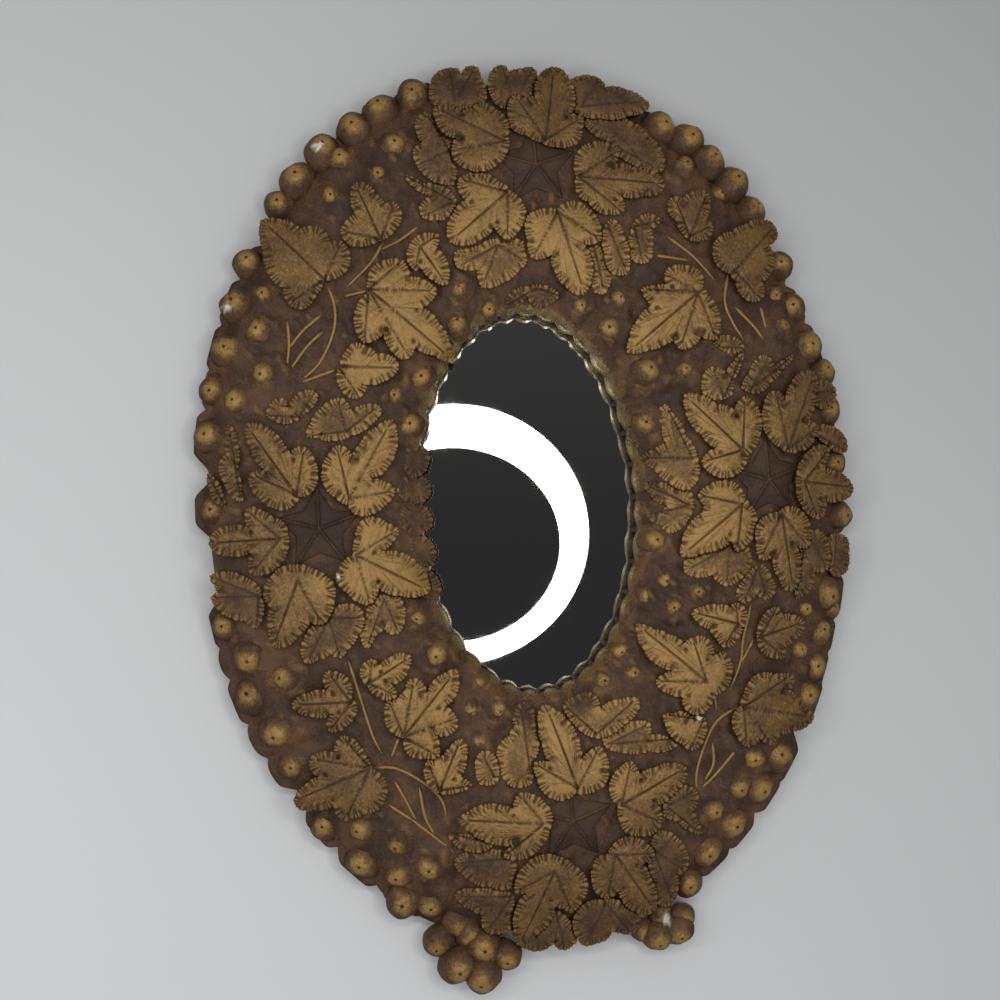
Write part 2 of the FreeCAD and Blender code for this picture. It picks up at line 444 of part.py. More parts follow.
under_leaves = {
    "upper_left": [
        [(-34.5, 200), (-31, 206), (-25, 208.3), (-21, 207.5), (-19.5, 204), (-17, 208.2), (-12, 208.2),
         (-10.5, 202), (-9, 190), (-16, 186), (-28, 187), (-35, 190)],
        [(-43, 181), (-38, 186), (-32, 178), (-26, 165), (-27, 150), (-33, 150.5), (-39, 153.5),
         (-44, 160), (-45, 167.5), (-40.5, 170.5), (-43, 176)],
        [(-50, 155.5), (-42, 151), (-30, 148), (-26, 140), (-31, 134), (-36, 133.5), (-43, 135),
         (-44, 140.5), (-38, 145), (-46, 149.5)],
        [(-29, 118), (-17, 121), (-8, 124), (4, 122), (5, 112), (1.5, 109), (-6.5, 103.3),
         (-16.8, 101.2), (-18.5, 109.8), (-28, 111)],
        [(-120.3, 46.5), (-119, 50), (-114.5, 54.3), (-110.5, 53), (-110.5, 49), (-107, 54),
         (-101, 57.3), (-97, 56.5), (-96, 53), (-103, 46), (-110, 42), (-117, 44)],
        [(-102.5, 36), (-100, 42), (-95, 48.5), (-87, 53), (-84.5, 52.5), (-81, 46.5), (-74, 49.2),
         (-68, 48.5), (-67, 45.5), (-72, 40), (-82, 35), (-90, 33), (-98, 35)],
        [(-137.5, 43.5), (-135.5, 42), (-134, 35), (-135, 22), (-133.5, 12), (-133, 7.5), (-137, 9),
         (-141, 17), (-143, 25), (-139.5, 30), (-138.5, 37)],
        [(-148.5, 21.5), (-145, 19), (-142, 12), (-141, 6), (-146, 8.5), (-147.5, 14)],
        [(-55, 30), (-50, 30), (-45.5, 26), (-46.5, 20), (-49, 16), (-55, 15), (-60, 22)],
        [(-56, 16), (-49.5, 15.3), (-45.5, 10), (-47, 5), (-50, 2.8), (-57, 3), (-62, 9)]],
    "upper_right": [
        [(-6.8, 202), (-4, 206.8), (0, 208.5), (2.5, 207), (3, 204.5), (9, 206), (15, 206.7),
         (16.3, 204.5), (15, 195), (8, 188), (-2, 186), (-6.6, 192)],
        [(32, 199.5), (37, 201.8), (42.3, 203), (47.5, 201), (49.5, 196.2), (60, 196), (67, 193.3),
         (70.8, 189), (69.5, 185), (60, 181.5), (45, 180), (33, 183)],
        [(36, 178), (47.5, 181), (60, 178), (68, 171), (74.5, 161), (73, 153), (60, 156), (48, 168)],
        [(46, 131), (49, 129.5), (52, 122), (53.8, 113), (52.5, 104.5), (45, 105), (42, 115), (42, 126)],
        [(36, 121), (42, 115), (45, 106), (41, 95.5), (36, 97), (35.5, 108)],
        [(55, 124), (59, 131), (65, 133), (70.5, 129.7), (65, 125.5), (65.3, 117), (64, 111), (60, 109),
         (55, 111), (54, 118)],
        [(-6.5, 92), (-1.5, 92), (4.5, 97), (7, 92.8), (11, 91), (20, 96), (15, 100.5), (5, 101),
         (-3, 99)],
        [(90.5, 72), (97, 73.5), (104, 71.5), (106.5, 67), (101, 64.5), (95, 67)],
        [(84.5, 51), (86.5, 56.5), (90, 58.8), (94.5, 57.5), (97, 56), (101, 61), (106, 65.5),
         (104.5, 60), (99.5, 52), (99, 45), (90, 43), (85, 46)],
        [(103.5, 48), (108, 55), (112, 61.5), (115.5, 63.5), (119, 62), (121, 57.5), (126, 60.5),
         (131.5, 63), (125, 56.5), (118, 50), (112, 45)],
        [(64.2, 41), (64.7, 32), (66, 24), (60, 21), (53.8, 18), (60, 12), (66, 5.5), (74.5, 1), (80, 6),
         (80, 18), (75.5, 27), (69.5, 38.5), (67, 42.5)],
        [(142, 50.5), (150, 49), (153, 46), (151.5, 40), (145, 36.5), (141, 38)],
        [(139, 28.5), (147, 28.5), (153, 26), (157, 20), (156, 15.5), (150, 15.5), (146, 19),
         (140, 24)]],
    "lower_right": [
        [(54.8, 5.5), (60, 5.5), (70, 3), (77, -1), (76, -10), (70, -17), (65, -18.5), (61, -15),
         (55, -9.5), (62, -9), (65, -5), (61, -4.2), (57.5, 0)],
        [(70.5, -37), (74, -39.5), (83.5, -39.3), (86, -42.5), (90, -45.2), (95, -43.5), (99.5, -40),
         (103.3, -35), (102, -27.5), (90, -24.5), (75, -29), (71, -32)],
        [(94.4, -49.8), (98, -54), (102, -51.8), (104.6, -49.8), (109.3, -53), (114, -49),
         (112.2, -41.4), (108.4, -36), (104, -37), (98, -43)],
        [(130, -22), (139, -21.5), (143, -30), (141.5, -40.5), (134, -41), (133.7, -45), (130, -51),
         (124, -53), (125, -46), (128, -35)],
        [(145, -23.5), (153.3, -25.7), (153.7, -33), (152.5, -41), (149, -43.5), (144, -43.5), (141, -33),
         (140.5, -27)],
        [(56, -140), (63, -136.5), (69.3, -139), (70.5, -144.5), (67.5, -149), (69.5, -154),
         (71.5, -160.5), (66, -158.5), (60, -153), (53, -150)],
        [(50, -157), (54, -157.3), (59.5, -161), (63.5, -167), (64.5, -173), (63, -177.5),
         (58.5, -178.5), (59.3, -186), (57, -192.5), (52.5, -193.7), (49, -191), (46, -178), (46, -165)],
        [(9.5, -95.2), (15, -92.2), (22.5, -90.3), (25.8, -93.5), (26.5, -99), (30, -96), (37, -94.7),
         (44.5, -94.3), (45.2, -99), (38, -106), (24, -112), (15, -106), (11, -100.5)],
        [(26.5, -113), (30, -110), (36, -107), (44, -105), (49.5, -106.5), (49.5, -112), (58, -114),
         (64, -114.5), (60, -119), (48, -119.5), (35, -119), (28, -116.5)],
        [(8, -196), (11, -206.3), (13.2, -209), (20, -208.5), (24, -207.5), (27, -203), (31, -204.5),
         (37, -206), (40, -203), (40, -196), (32, -189), (22, -187), (14, -188)]],
    "lower_left": [
        [(-57, 2.8), (-50.5, 2), (-46, -4), (-46.5, -9), (-50, -11), (-56, -12), (-62, -5)],
        [(-56, -12.3), (-50, -13), (-45.5, -19), (-45.5, -24), (-49, -28), (-54, -25), (-58, -19)],
        [(-49, -29), (-45, -33), (-44, -40), (-47, -43.5), (-52, -42), (-52, -35)],
        [(-150, -25.5), (-143, -24), (-134, -27), (-127, -33), (-126, -42), (-130, -51), (-135, -47),
         (-141, -45.3), (-147, -41), (-150, -35.5), (-147, -33), (-148, -30)],
        [(-104, -51), (-98, -46), (-90, -42), (-83, -43.5), (-80.5, -49), (-84, -57), (-89, -63),
         (-92.5, -67), (-97, -64.5), (-103, -67), (-108, -68.5), (-110.5, -64), (-109, -57)],
        [(-77, -42), (-66, -38), (-62, -44), (-61.8, -50), (-65, -57.3), (-68.5, -57.5), (-72, -54.5),
         (-76, -57.5), (-80.5, -63.5), (-83, -58), (-80, -48)],
        [(-33, -117), (-30.5, -114), (-26, -114.5), (-23, -120), (-24, -129), (-32, -129),
         (-33.5, -123)],
        [(-10.5, -93.3), (-6, -93.5), (-4, -100), (-3, -112), (-7, -121), (-8, -131), (-16.5, -131.5),
         (-20.5, -128), (-23, -119), (-22.5, -112.5), (-17, -108), (-14.3, -104), (-13.8, -97.5)],
        [(-48.5, -150), (-44, -151.5), (-36, -152), (-27, -157), (-33, -160), (-42, -158),
         (-46, -154.5)],
        [(-46, -164.5), (-43.5, -160.8), (-38, -159.5), (-26, -159.5), (-18, -163), (-18, -172),
         (-20, -178.3), (-30, -176.5), (-37.5, -174), (-42, -170)],
        [(-46, -180), (-45, -177.5), (-37, -177), (-27, -178.5), (-19.5, -181), (-20, -190),
         (-21.5, -198), (-28, -199.5), (-32.5, -198), (-34.3, -194.5), (-33.8, -189.5), (-39, -186.5),
         (-44, -183)],
        [(-18, -205.5), (-14, -208), (-8.5, -209.8), (-3, -208), (-1, -205.8), (1, -209.2),
         (4.2, -210.6), (8.5, -208), (10.3, -205), (6, -195), (0, -190), (-10, -198)]],
}

stems = {
    "upper_left": [
        [(-89, 106), (-86, 96), (-87, 84), (-94, 70), (-104, 61)],
        [(-62, 124), (-68, 115), (-80, 104)],
        [(-45, 131), (-54, 125), (-63, 121)],
        [(-70, 102), (-81, 100)],
        [(-87, 66), (-103, 61)],
        [(-108, 90), (-108, 77), (-111, 61)],
        [(-92, 92), (-101, 85), (-108, 77)],
        [(-92, 84), (-100, 77), (-108, 67)]],
    "upper_right": [
        [(73, 122), (85, 112), (95, 100)],
        [(67, 113), (83, 110)],
        [(102, 104), (99, 90), (102, 80), (107, 71)],
        [(104, 87), (113, 77), (117, 71)],
        [(117, 87), (119, 76)]],
    "lower_right": [
        [(102, -54), (97, -70), (95, -81), (89, -94)],
        [(102, -71), (95, -82)],
        [(93, -102), (83, -107), (77, -115), (71, -130), (70, -141)],
        [(92, -121), (80, -133), (70, -141)],
        [(79, -118), (79, -128), (74, -136)],
        [(81, -94), (82, -103)]],
    "lower_left": [
        [(-89, -68), (-85, -84), (-80, -103), (-76, -112)],
        [(-81, -118), (-70, -119), (-57, -127), (-50, -135), (-48, -144)],
        [(-68, -105), (-72, -114)],
        [(-75, -135), (-62, -145), (-45, -160)],
        [(-71, -125), (-67, -133), (-62, -144)],
        [(-60, -128), (-58, -142), (-54, -151)]],
}

# Drawn places of the grapes, by size
grapes = {
    "upper_left_grapes": {
        large_grape: [(-42, 195), (-58, 188), (-71, 180), (-87, 170), (-99, 157), (-129.5, 99.3),
                      (-135, 78), (-145, 39)],
        middle_grape: [(-108, 146), (-78, 165), (-54, 170), (-124, 119), (-120, 86), (-119, 66),
                       (-143, 61), (-132, 54), (-145, 5)],
        small_grape: [(-62, 156), (-84, 148), (-117, 103)]},
    "upper_right_grapes": {
        large_grape: [(75, 176), (88, 170), (98, 159), (109, 148), (140, 67)],
        middle_grape: [(84, 155), (118, 135), (130, 108), (135, 87), (147.4, 54.4), (149, 36),
                       (149.5, 10.3)],
        small_grape: [(101, 143), (124, 93), (126, 77)]},
    "lower_right_grapes": {
        large_grape: [(140, -51), (127, -100), (112, -127), (101, -140), (87, -156), (74, -168)],
        middle_grape: [(151, -14), (136, -70), (133, -86), (99, -126), (91, -139), (77, -149), (66, -184)],
        small_grape: [(144, -59), (124, -77), (128, -58), (52, -197), (63, -200)]},
    "lower_left_grapes": {
        large_grape: [(-133, -63), (-133, -82), (-122, -98), (-86, -161), (-69, -181)],
        middle_grape: [(-143, -49), (-117, -74), (-116, -114), (-103, -144), (-86, -145), (-70, -152),
                       (-70, -168), (-57, -165), (-57, -183), (-45, -194)],
        small_grape: []},
    "rim_grapes": {
        large_grape: [(58, 58)],
        middle_grape: [(-29, 84), (-47, 61), (-54, 39), (43, 80), (57, 34), (58, -22), (-48, -68)],
        small_grape: [(-27, 101), (-14, 92), (29, 91), (47, 93), (77, 58), (-60, 53), (-56, -51), (62, -40),
                      (76, -46), (52, -47), (65, -53), (43, -83), (29, -86), (39, -72), (-29, -82),
                      (-34, -94), (-31, -108), (-21, -95)]},
}

bunches = {
    "left_bunch": {
        large_grape: [(-33.5, -205.7), (-46, -213.5), (-34, -219)],
        middle_grape: [(-54, -201.7), (-23, -211), (-40, -199)]},
    "right_bunch": {
        middle_grape: [(50, -208), (60, -206)],
        small_grape: [(43, -205), (52, -199)]},
}

rosette_centres = {"top": (12, 158), "right": (114, 4), "bottom": (10, -149), "left": (-99, -7)}


def frame_body(holes):
    # The domed plank with the rebate behind the sight edge, the hanger pocket and the screws' pilot holes.
    body = domed_band(0, 0, back_height)
    rebate = oval_prism(rebate_a, rebate_b, back_height - run_out, rebate_height)
    pocket = Part.makeBox(pocket_width, pocket_depth + run_out, pocket_top - pocket_bottom,
                          at(-pocket_width / 2, pocket_bottom, pocket_floor))
    return body.cut([rebate, pocket] + holes)


def star(place, seat, laid):
    # Five ridges that meet at a raised middle.
    x, z = drawn(place)
    height = band_height(x, z)
    corners = []
    for step in range(10):
        angle = math.pi * step / 5 + math.pi / 2
        reach = star_waist if step % 2 else star_radius
        corners.append(at(x + reach * math.cos(angle), z + reach * math.sin(angle), height - star_root))
    apex = at(x, z, height + star_height)
    faces = [Part.Face(Part.makePolygon(corners + corners[:1]))]
    for here, after in zip(corners, corners[1:] + corners[:1]):
        faces.append(Part.Face(Part.makePolygon([here, after, apex, here])))
    pyramid = Part.makeSolid(Part.makeShell(faces))
    if pyramid.Volume < 0:
        pyramid.reverse()
    return clear_of(pyramid.cut(seat), x, z, star_radius, laid)


def grape(place, radius, grow=0.0):
    # A ball of two halves, so that none of its faces closes on itself.
    x, z = drawn(place)
    centre = at(x, z, max(band_height(x, z) - grape_sink, radius + wall_clearance))
    half = Part.makeSphere(radius + grow, centre, forward, -90, 90, 180)
    other = half.copy()
    other.rotate(centre, forward, 180)
    return half.fuse(other)


def turned_oval(edges):
    # A profile turned about the mirror's axis, then drawn in to the oval's width.
    narrow = FreeCAD.Matrix()
    narrow.scale(Vector(glass_a / glass_b, 1, 1))
    profile = Part.Face(Part.Wire(edges))
    return profile.revolve(Vector(0, 0, 0), forward, 360).transformGeometry(narrow)


def bend(top, start, end):
    # The glass's bend, an arc from one place along its height to another.
    places = [start, (start + end) / 2, end]
    return Part.Arc(*[at(0, z, top - glass_drop(z)) for z in places]).toShape()


def straight(*corners):
    points = [at(0, z, height) for z, height in corners]
    return [Part.LineSegment(here, after).toShape() for here, after in zip(points, points[1:])]


def mirror_glass():
    back_top = glass_top - glass_thickness
    edge = glass_top - glass_drop(glass_b)
    return turned_oval([bend(glass_top, 0, glass_b)]
                       + straight((glass_b, edge), (glass_b, edge - glass_thickness))
                       + [bend(back_top, glass_b, 0)]
                       + straight((0, back_top), (0, glass_top)))


def packing_ring():
    start = glass_b - packing_width
    return turned_oval([bend(packing_top, start, glass_b)]
                       + straight((glass_b, packing_top - glass_drop(glass_b)), (glass_b, packing_low),
                                  (start, packing_low), (start, packing_top - glass_drop(start))))


def back_board():
    return oval_prism(glass_a, glass_b, back_height, back_height + board_thickness)


def button_pivot(angle):
    # Where a button's screw goes in, outside the rebate along the oval's own normal.
    turn = math.radians(angle)
    x = rebate_a * math.sin(turn)
    z = rebate_b * math.cos(turn)
    normal = Vector(x / rebate_a ** 2, 0, z / rebate_b ** 2).normalize()
    return x + normal.x * button_setback, z + normal.z * button_setback, normal


def turn_button(angle):
    # A round-ended steel strip that points inwards over the board.
    x, z, normal = button_pivot(angle)
    high = back_height - running_gap
    low = high - button_thickness
    run = button_reach - button_width / 2
    ends = [(x - normal.x * run, z - normal.z * run),
            (x + normal.x * button_tail, z + normal.z * button_tail)]
    side = Vector(normal.z, 0, -normal.x) * (button_width / 2)
    corners = [at(*ends[0], low) + side, at(*ends[1], low) + side, at(*ends[1], low) - side,
               at(*ends[0], low) - side]
    strip = Part.Face(Part.makePolygon(corners + corners[:1])).extrude(forward * button_thickness)
    for end in ends:
        strip = strip.fuse(disc_prism(end[0], end[1], button_width / 2, low, high))
    bore = disc_prism(x, z, screw_radius + running_gap, low - run_out, high + run_out)
    return strip.cut(bore).removeSplitter()


def screw(x, z, head_front):
    # A pan-head screw, its head on the wall side and its shank forwards into the plank.
    head = disc_prism(x, z, screw_head_radius, head_front - screw_head_thickness, head_front)
    shank = disc_prism(x, z, screw_radius, head_front, head_front + screw_length)
    point = Part.makeCone(screw_radius, screw_point_radius, screw_radius * 2,
                          at(x, z, head_front + screw_length), forward)
    slot = Part.makeBox(2 * screw_head_radius, screw_head_thickness / 2, screw_slot_width,
                        at(x - screw_head_radius, z - screw_slot_width / 2,
                           head_front - screw_head_thickness / 2))
    return head.fuse([shank, point]).cut(slot).removeSplitter()


def pilot(x, z, head_front):
    depth = screw_length + screw_radius * 2 + pilot_clearance
    return disc_prism(x, z, screw_radius + pilot_clearance, head_front - run_out, head_front + depth)


def hanger_plate():
    # A strap screwed to the pocket's floor, rolled into a barrel for the ring's bar.
    inner = ring_wire_radius + running_gap
    outer = inner + barrel_wall
    axis_height = pocket_floor - outer - seat_gap
    plate = Part.makeBox(hanger_plate_width, hanger_plate_thickness, hanger_plate_length,
                         at(-hanger_plate_width / 2, hanger_axis_z - hanger_plate_length,
                            pocket_floor - seat_gap))
    barrel = Part.makeCylinder(outer, barrel_width, at(-barrel_width / 2, hanger_axis_z, axis_height),
                               Vector(1, 0, 0))
    bore = Part.makeCylinder(inner, 2 * barrel_width, at(-barrel_width, hanger_axis_z, axis_height),
                             Vector(1, 0, 0))
    strap = plate.fuse(barrel).cut(bore)
    for place in hanger_screw_places:
        strap = strap.cut(disc_prism(0, hanger_axis_z - place, screw_radius + pilot_clearance,
                                     back_height, pocket_floor + run_out))
    return strap.removeSplitter()


def hanger_axis_height():
    return pocket_floor - ring_wire_radius - running_gap - barrel_wall - seat_gap


def hanger_ring():
    # A D of round wire: the bar in the barrel, two short legs and a half circle.
    height = hanger_axis_height()
    half = ring_half_width
    corner = ring_corner
    low = hanger_axis_z
    shoulder = low + corner + ring_leg
    bend = corner * (1 - math.sqrt(0.5))
    path = [Part.LineSegment(at(corner - half, low, height), at(half - corner, low, height)),
            Part.Arc(at(half - corner, low, height), at(half - bend, low + bend, height),
                     at(half, low + corner, height)),
            Part.LineSegment(at(half, low + corner, height), at(half, shoulder, height)),
            Part.Arc(at(half, shoulder, height), at(0, shoulder + half, height),
                     at(-half, shoulder, height)),
            Part.LineSegment(at(-half, shoulder, height), at(-half, low + corner, height)),
            Part.Arc(at(-half, low + corner, height), at(bend - half, low + bend, height),
                     at(corner - half, low, height))]
    wire = Part.Wire([piece.toShape() for piece in path])
    section = Part.Circle(at(corner - half, low, height), Vector(1, 0, 0), ring_wire_radius)
    return wire.makePipeShell([Part.Wire([section.toShape()])], True, False)


def wall_pads():
    # One in the middle of the board and four near the outer edge.
    pads = [disc_prism(0, 0, pad_radius, 0, back_height)]
    for angle in pad_angles:
        turn = math.radians(angle)
        x = (oval_a - pad_inset) * math.sin(turn)
        z = (oval_b - pad_inset) * math.cos(turn)
        pads.append(disc_prism(x, z, pad_radius, 0, back_height))
    return pads


os.makedirs("parts", exist_ok=True)

# Frame, glass and back
button_head = back_height - 2 * running_gap - button_thickness
plate_head = pocket_floor - seat_gap - hanger_plate_thickness
button_screws = [screw(*button_pivot(angle)[:2], button_head) for angle in button_angles]
hanger_screws = [screw(0, hanger_axis_z - place, plate_head) for place in hanger_screw_places]
pilots = [pilot(*button_pivot(angle)[:2], button_head) for angle in button_angles]
pilots += [pilot(0, hanger_axis_z - place, plate_head) for place in hanger_screw_places]

write("frame_body", [frame_body(pilots)])
write("mirror_glass", [mirror_glass()])
write("packing_ring", [packing_ring()])
write("back_board", [back_board()])
for number, angle in enumerate(button_angles, 1):
    write("turn_button_%d" % number, [turn_button(angle)])
write("turn_button_screws", button_screws)
write("hanger_plate", [hanger_plate()])
write("hanger_ring", [hanger_ring()])
write("hanger_screws", hanger_screws)
write("wall_pads", wall_pads())

# Ornament, laid in order: large leaves, stems, stars, grapes, then the leaves behind them
seat = domed_band(glue_line, glue_line, 0, glue_line)
leaf_layer = ornament_layer(leaf_thickness)
under_layer = ornament_layer(under_leaf_thickness)
stem_layer = domed_band(stem_thickness, 0, ornament_back)
laid = []


def lay(patch):
    laid.append((patch.BoundBox, patch))


def leaf_solids(leaf, layer):
    patch = trimmed(Part.Face(leaf_outline(leaf)), laid)
    lay(Part.Face(leaf_outline(leaf, carving_gap)))
    return raised(patch, layer, seat)


for rosette, leaves in rosette_leaves.items():
    for number, leaf in enumerate(leaves, 1):
        write("%s_leaf_%d" % (rosette, number), leaf_solids(leaf, leaf_layer))

for quarter, leaves in sprig_leaves.items():
    solids = []
    for leaf in leaves:
        solids += leaf_solids(leaf, leaf_layer)
    write(quarter + "_sprig_leaves", solids)

for quarter, lines in stems.items():
    strips = [Part.Face(stem_outline(line)) for line in lines]
    patch = trimmed(strips[0].fuse(strips[1:]).removeSplitter(), laid)
    write(quarter + "_stems", raised(patch, stem_layer, seat))
    for line in lines:
        lay(Part.Face(stem_outline(line, grow=carving_gap)))

for rosette, place in rosette_centres.items():
    write(rosette + "_star", solids_of(star(place, seat, laid))[:1])
    lay(disc(place, star_radius + carving_gap))

for name, sizes in bunches.items():
    balls = [grape(place, radius) for radius, places in sizes.items() for place in places]
    bunch = balls[0].fuse(balls[1:]).cut(seat)
    middle = bunch.BoundBox.Center
    reach = bunch.BoundBox.DiagonalLength / 2
    write(name, solids_of(clear_of(bunch, middle.x, middle.z, reach, laid))[:1])

ripe = []
for sizes in bunches.values():
    for radius, places in sizes.items():
        ripe += [(place, radius) for place in places]

for name, sizes in grapes.items():
    solids = []
    for radius, places in sizes.items():
        for place in places:
            x, z = drawn(place)
            ball = clear_of(grape(place, radius).cut(seat), x, z, radius, laid)
            for other, other_radius in ripe:
                if math.dist(drawn(place), drawn(other)) < radius + other_radius + carving_gap:
                    ball = ball.cut(grape(other, other_radius, carving_gap))
            solids += solids_of(ball)[:1]
            ripe.append((place, radius))
    write(name, solids)

for place, radius in ripe:
    lay(disc(place, radius + carving_gap))

for quarter, leaves in under_leaves.items():
    solids = []
    for leaf in leaves:
        solids += leaf_solids(leaf, under_layer)
    write(quarter + "_under_leaves", solids)
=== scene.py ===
import math
import bpy
import numpy as np
from mathutils import Matrix, Vector


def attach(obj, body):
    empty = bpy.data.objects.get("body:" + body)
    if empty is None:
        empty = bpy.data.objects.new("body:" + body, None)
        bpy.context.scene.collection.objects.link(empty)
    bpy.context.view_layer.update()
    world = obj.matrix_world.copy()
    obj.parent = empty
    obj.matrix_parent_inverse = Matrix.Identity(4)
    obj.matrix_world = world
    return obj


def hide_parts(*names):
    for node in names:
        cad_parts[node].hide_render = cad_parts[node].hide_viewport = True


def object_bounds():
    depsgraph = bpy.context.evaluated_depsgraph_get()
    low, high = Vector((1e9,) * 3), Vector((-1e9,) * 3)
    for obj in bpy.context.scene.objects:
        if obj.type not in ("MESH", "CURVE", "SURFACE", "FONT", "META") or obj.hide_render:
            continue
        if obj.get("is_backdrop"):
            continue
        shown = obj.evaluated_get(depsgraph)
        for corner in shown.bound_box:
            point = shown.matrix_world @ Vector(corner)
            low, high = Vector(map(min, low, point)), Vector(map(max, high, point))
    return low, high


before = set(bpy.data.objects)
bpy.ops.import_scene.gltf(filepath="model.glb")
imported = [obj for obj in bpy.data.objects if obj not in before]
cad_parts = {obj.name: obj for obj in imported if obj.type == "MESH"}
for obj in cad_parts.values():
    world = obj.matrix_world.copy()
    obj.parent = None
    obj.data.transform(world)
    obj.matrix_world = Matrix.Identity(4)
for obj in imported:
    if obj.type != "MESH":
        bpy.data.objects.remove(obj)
cadBox = [[float(v) for v in corner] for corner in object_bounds()]
mm = 0.001
randoms = np.random.default_rng(11)

# camera, as the photograph was taken: a little from the left and from below, rolled
shot = {"yaw": -7.0, "elevation": -2.0, "roll": 3.5, "distance": 850.0, "target": (-13.0, -14.0, 2.0),
        "lens": 64.8, "sensor": 36.0}


def placeCamera():
    yaw, tilt, roll = (math.radians(shot[k]) for k in ("yaw", "elevation", "roll"))
    back = Vector((math.sin(yaw) * math.cos(tilt), -math.cos(yaw) * math.cos(tilt), math.sin(tilt)))
    level = (-back).cross(Vector((0, 0, 1))).normalized()
    steep = level.cross(-back)
    right = math.cos(roll) * level - math.sin(roll) * steep
    up = math.sin(roll) * level + math.cos(roll) * steep
    lensData = bpy.data.cameras.new("photoCamera")
    lensData.lens = shot["lens"]
    lensData.sensor_width = shot["sensor"]
    camera = bpy.data.objects.new("photoCamera", lensData)
    place = (Vector(shot["target"]) + shot["distance"] * back) * mm
    turn = Matrix((right, up, back)).transposed().to_4x4()
    camera.matrix_world = Matrix.Translation(place) @ turn
    bpy.context.collection.objects.link(camera)
    bpy.context.scene.camera = camera


placeCamera()
print("camera placed")

# the domed band that everything is carved on, sizes in mm as in the solids
band = {"outer": (149.0, 201.0), "sight": (52.5, 90.0), "crestAcross": 0.47, "crest": 25.0, "edge": 10.0,
        "sightEdge": 17.0, "back": 4.0, "skin": 0.6, "seatPast": 5.2, "halvings": 24}


def ovalAt(share, inner, outer):   # half sizes of the oval that lies this share of the way out
    return tuple(i + (o - i) * share for i, o in zip(inner, outer))


def ringShare(x, z, inner, outer):   # 0 on the inner oval, 1 on the outer one, by halving the range
    low, high = np.zeros_like(x), np.ones_like(x)
    for step in range(band["halvings"]):
        middle = (low + high) / 2
        a, b = ovalAt(middle, inner, outer)
        beyond = (x / a) ** 2 + (z / b) ** 2 > 1
        low, high = np.where(beyond, middle, low), np.where(beyond, high, middle)
    return (low + high) / 2


def quarterFall(share, depth):   # falls by the depth along a quarter of an ellipse
    return depth * (1 - np.sqrt(np.clip(1 - share ** 2, 0, 1)))


def bandHeight(x, z, grow=0.0):   # falls from the crest to the outer edge and to the sight; grow widens it
    x, z = np.asarray(x, float), np.asarray(z, float)
    crest = ovalAt(band["crestAcross"], band["sight"], band["outer"])
    outer = (band["outer"][0] + grow, band["outer"][1] + grow)
    fallOut = quarterFall(ringShare(x, z, crest, outer), band["crest"] - band["edge"])
    fallIn = quarterFall(1 - ringShare(x, z, band["sight"], crest), band["crest"] - band["sightEdge"])
    return band["crest"] - fallOut - fallIn


def onBand(x, z):
    return (x / band["outer"][0]) ** 2 + (z / band["outer"][1]) ** 2 < 1


def seatHeight(x, z):   # where a carved piece ends below: in the band, or at its back past the band's edge
    return np.where(onBand(x, z), bandHeight(x, z) - band["skin"], band["seatPast"])


def smooth(value, low, high):   # 0 below low, 1 above high, an S between
    share = np.clip((value - low) / (high - low), 0, 1)
    return share * share * (3 - 2 * share)


def fullTurn(count):   # even angles once round
    return np.linspace(0, 2 * np.pi, count, endpoint=False)


# waves of the chisel, each with a direction, a phase and a length
waves = {"count": 28, "steps": (0.6, 1.6), "spread": 1.4}
waveAngles = randoms.uniform(0, 2 * np.pi, waves["count"])
wavePhases = randoms.uniform(0, 2 * np.pi, waves["count"])
waveSteps = randoms.uniform(*waves["steps"], waves["count"])


def carvedWaves(x, z, size):   # a sum of plane waves in many directions, about -1 to 1
    total = np.zeros_like(x)
    for angle, phase, step in zip(waveAngles, wavePhases, waveSteps):
        total += np.sin((x * np.cos(angle) + z * np.sin(angle)) * 2 * np.pi * step / size + phase)
    return total / math.sqrt(waves["count"]) / waves["spread"]


def closedGrid(points, values, ring=False):
    # rows of a grid that closes along its columns; each end row goes to a point, or the last meets the first
    rows, columns = points.shape[:2]
    index = np.arange(rows * columns).reshape(rows, columns)
    after = np.roll(index, -1, axis=1)
    verts = points.reshape(-1, 3)
    lists = {key: np.broadcast_to(value, (rows, columns)).reshape(-1) for key, value in values.items()}
    if ring:
        below, belowAfter = np.roll(index, -1, axis=0), np.roll(after, -1, axis=0)
        quads = np.stack([index, after, belowAfter, below], -1).reshape(-1, 4)
        return verts, quads, np.zeros((0, 3), int), lists
    quads = np.stack([index[:-1], after[:-1], after[1:], index[1:]], -1).reshape(-1, 4)
    ends = np.stack([points[0].mean(0), points[-1].mean(0)])
    first, last = rows * columns, rows * columns + 1
    top = np.stack([np.full(columns, first), after[0], index[0]], -1)
    foot = np.stack([np.full(columns, last), index[-1], after[-1]], -1)
    for key, value in lists.items():
        lists[key] = np.append(value, [value[:columns].mean(), value[-columns:].mean()])
    return np.vstack([verts, ends]), quads, np.vstack([top, foot]), lists


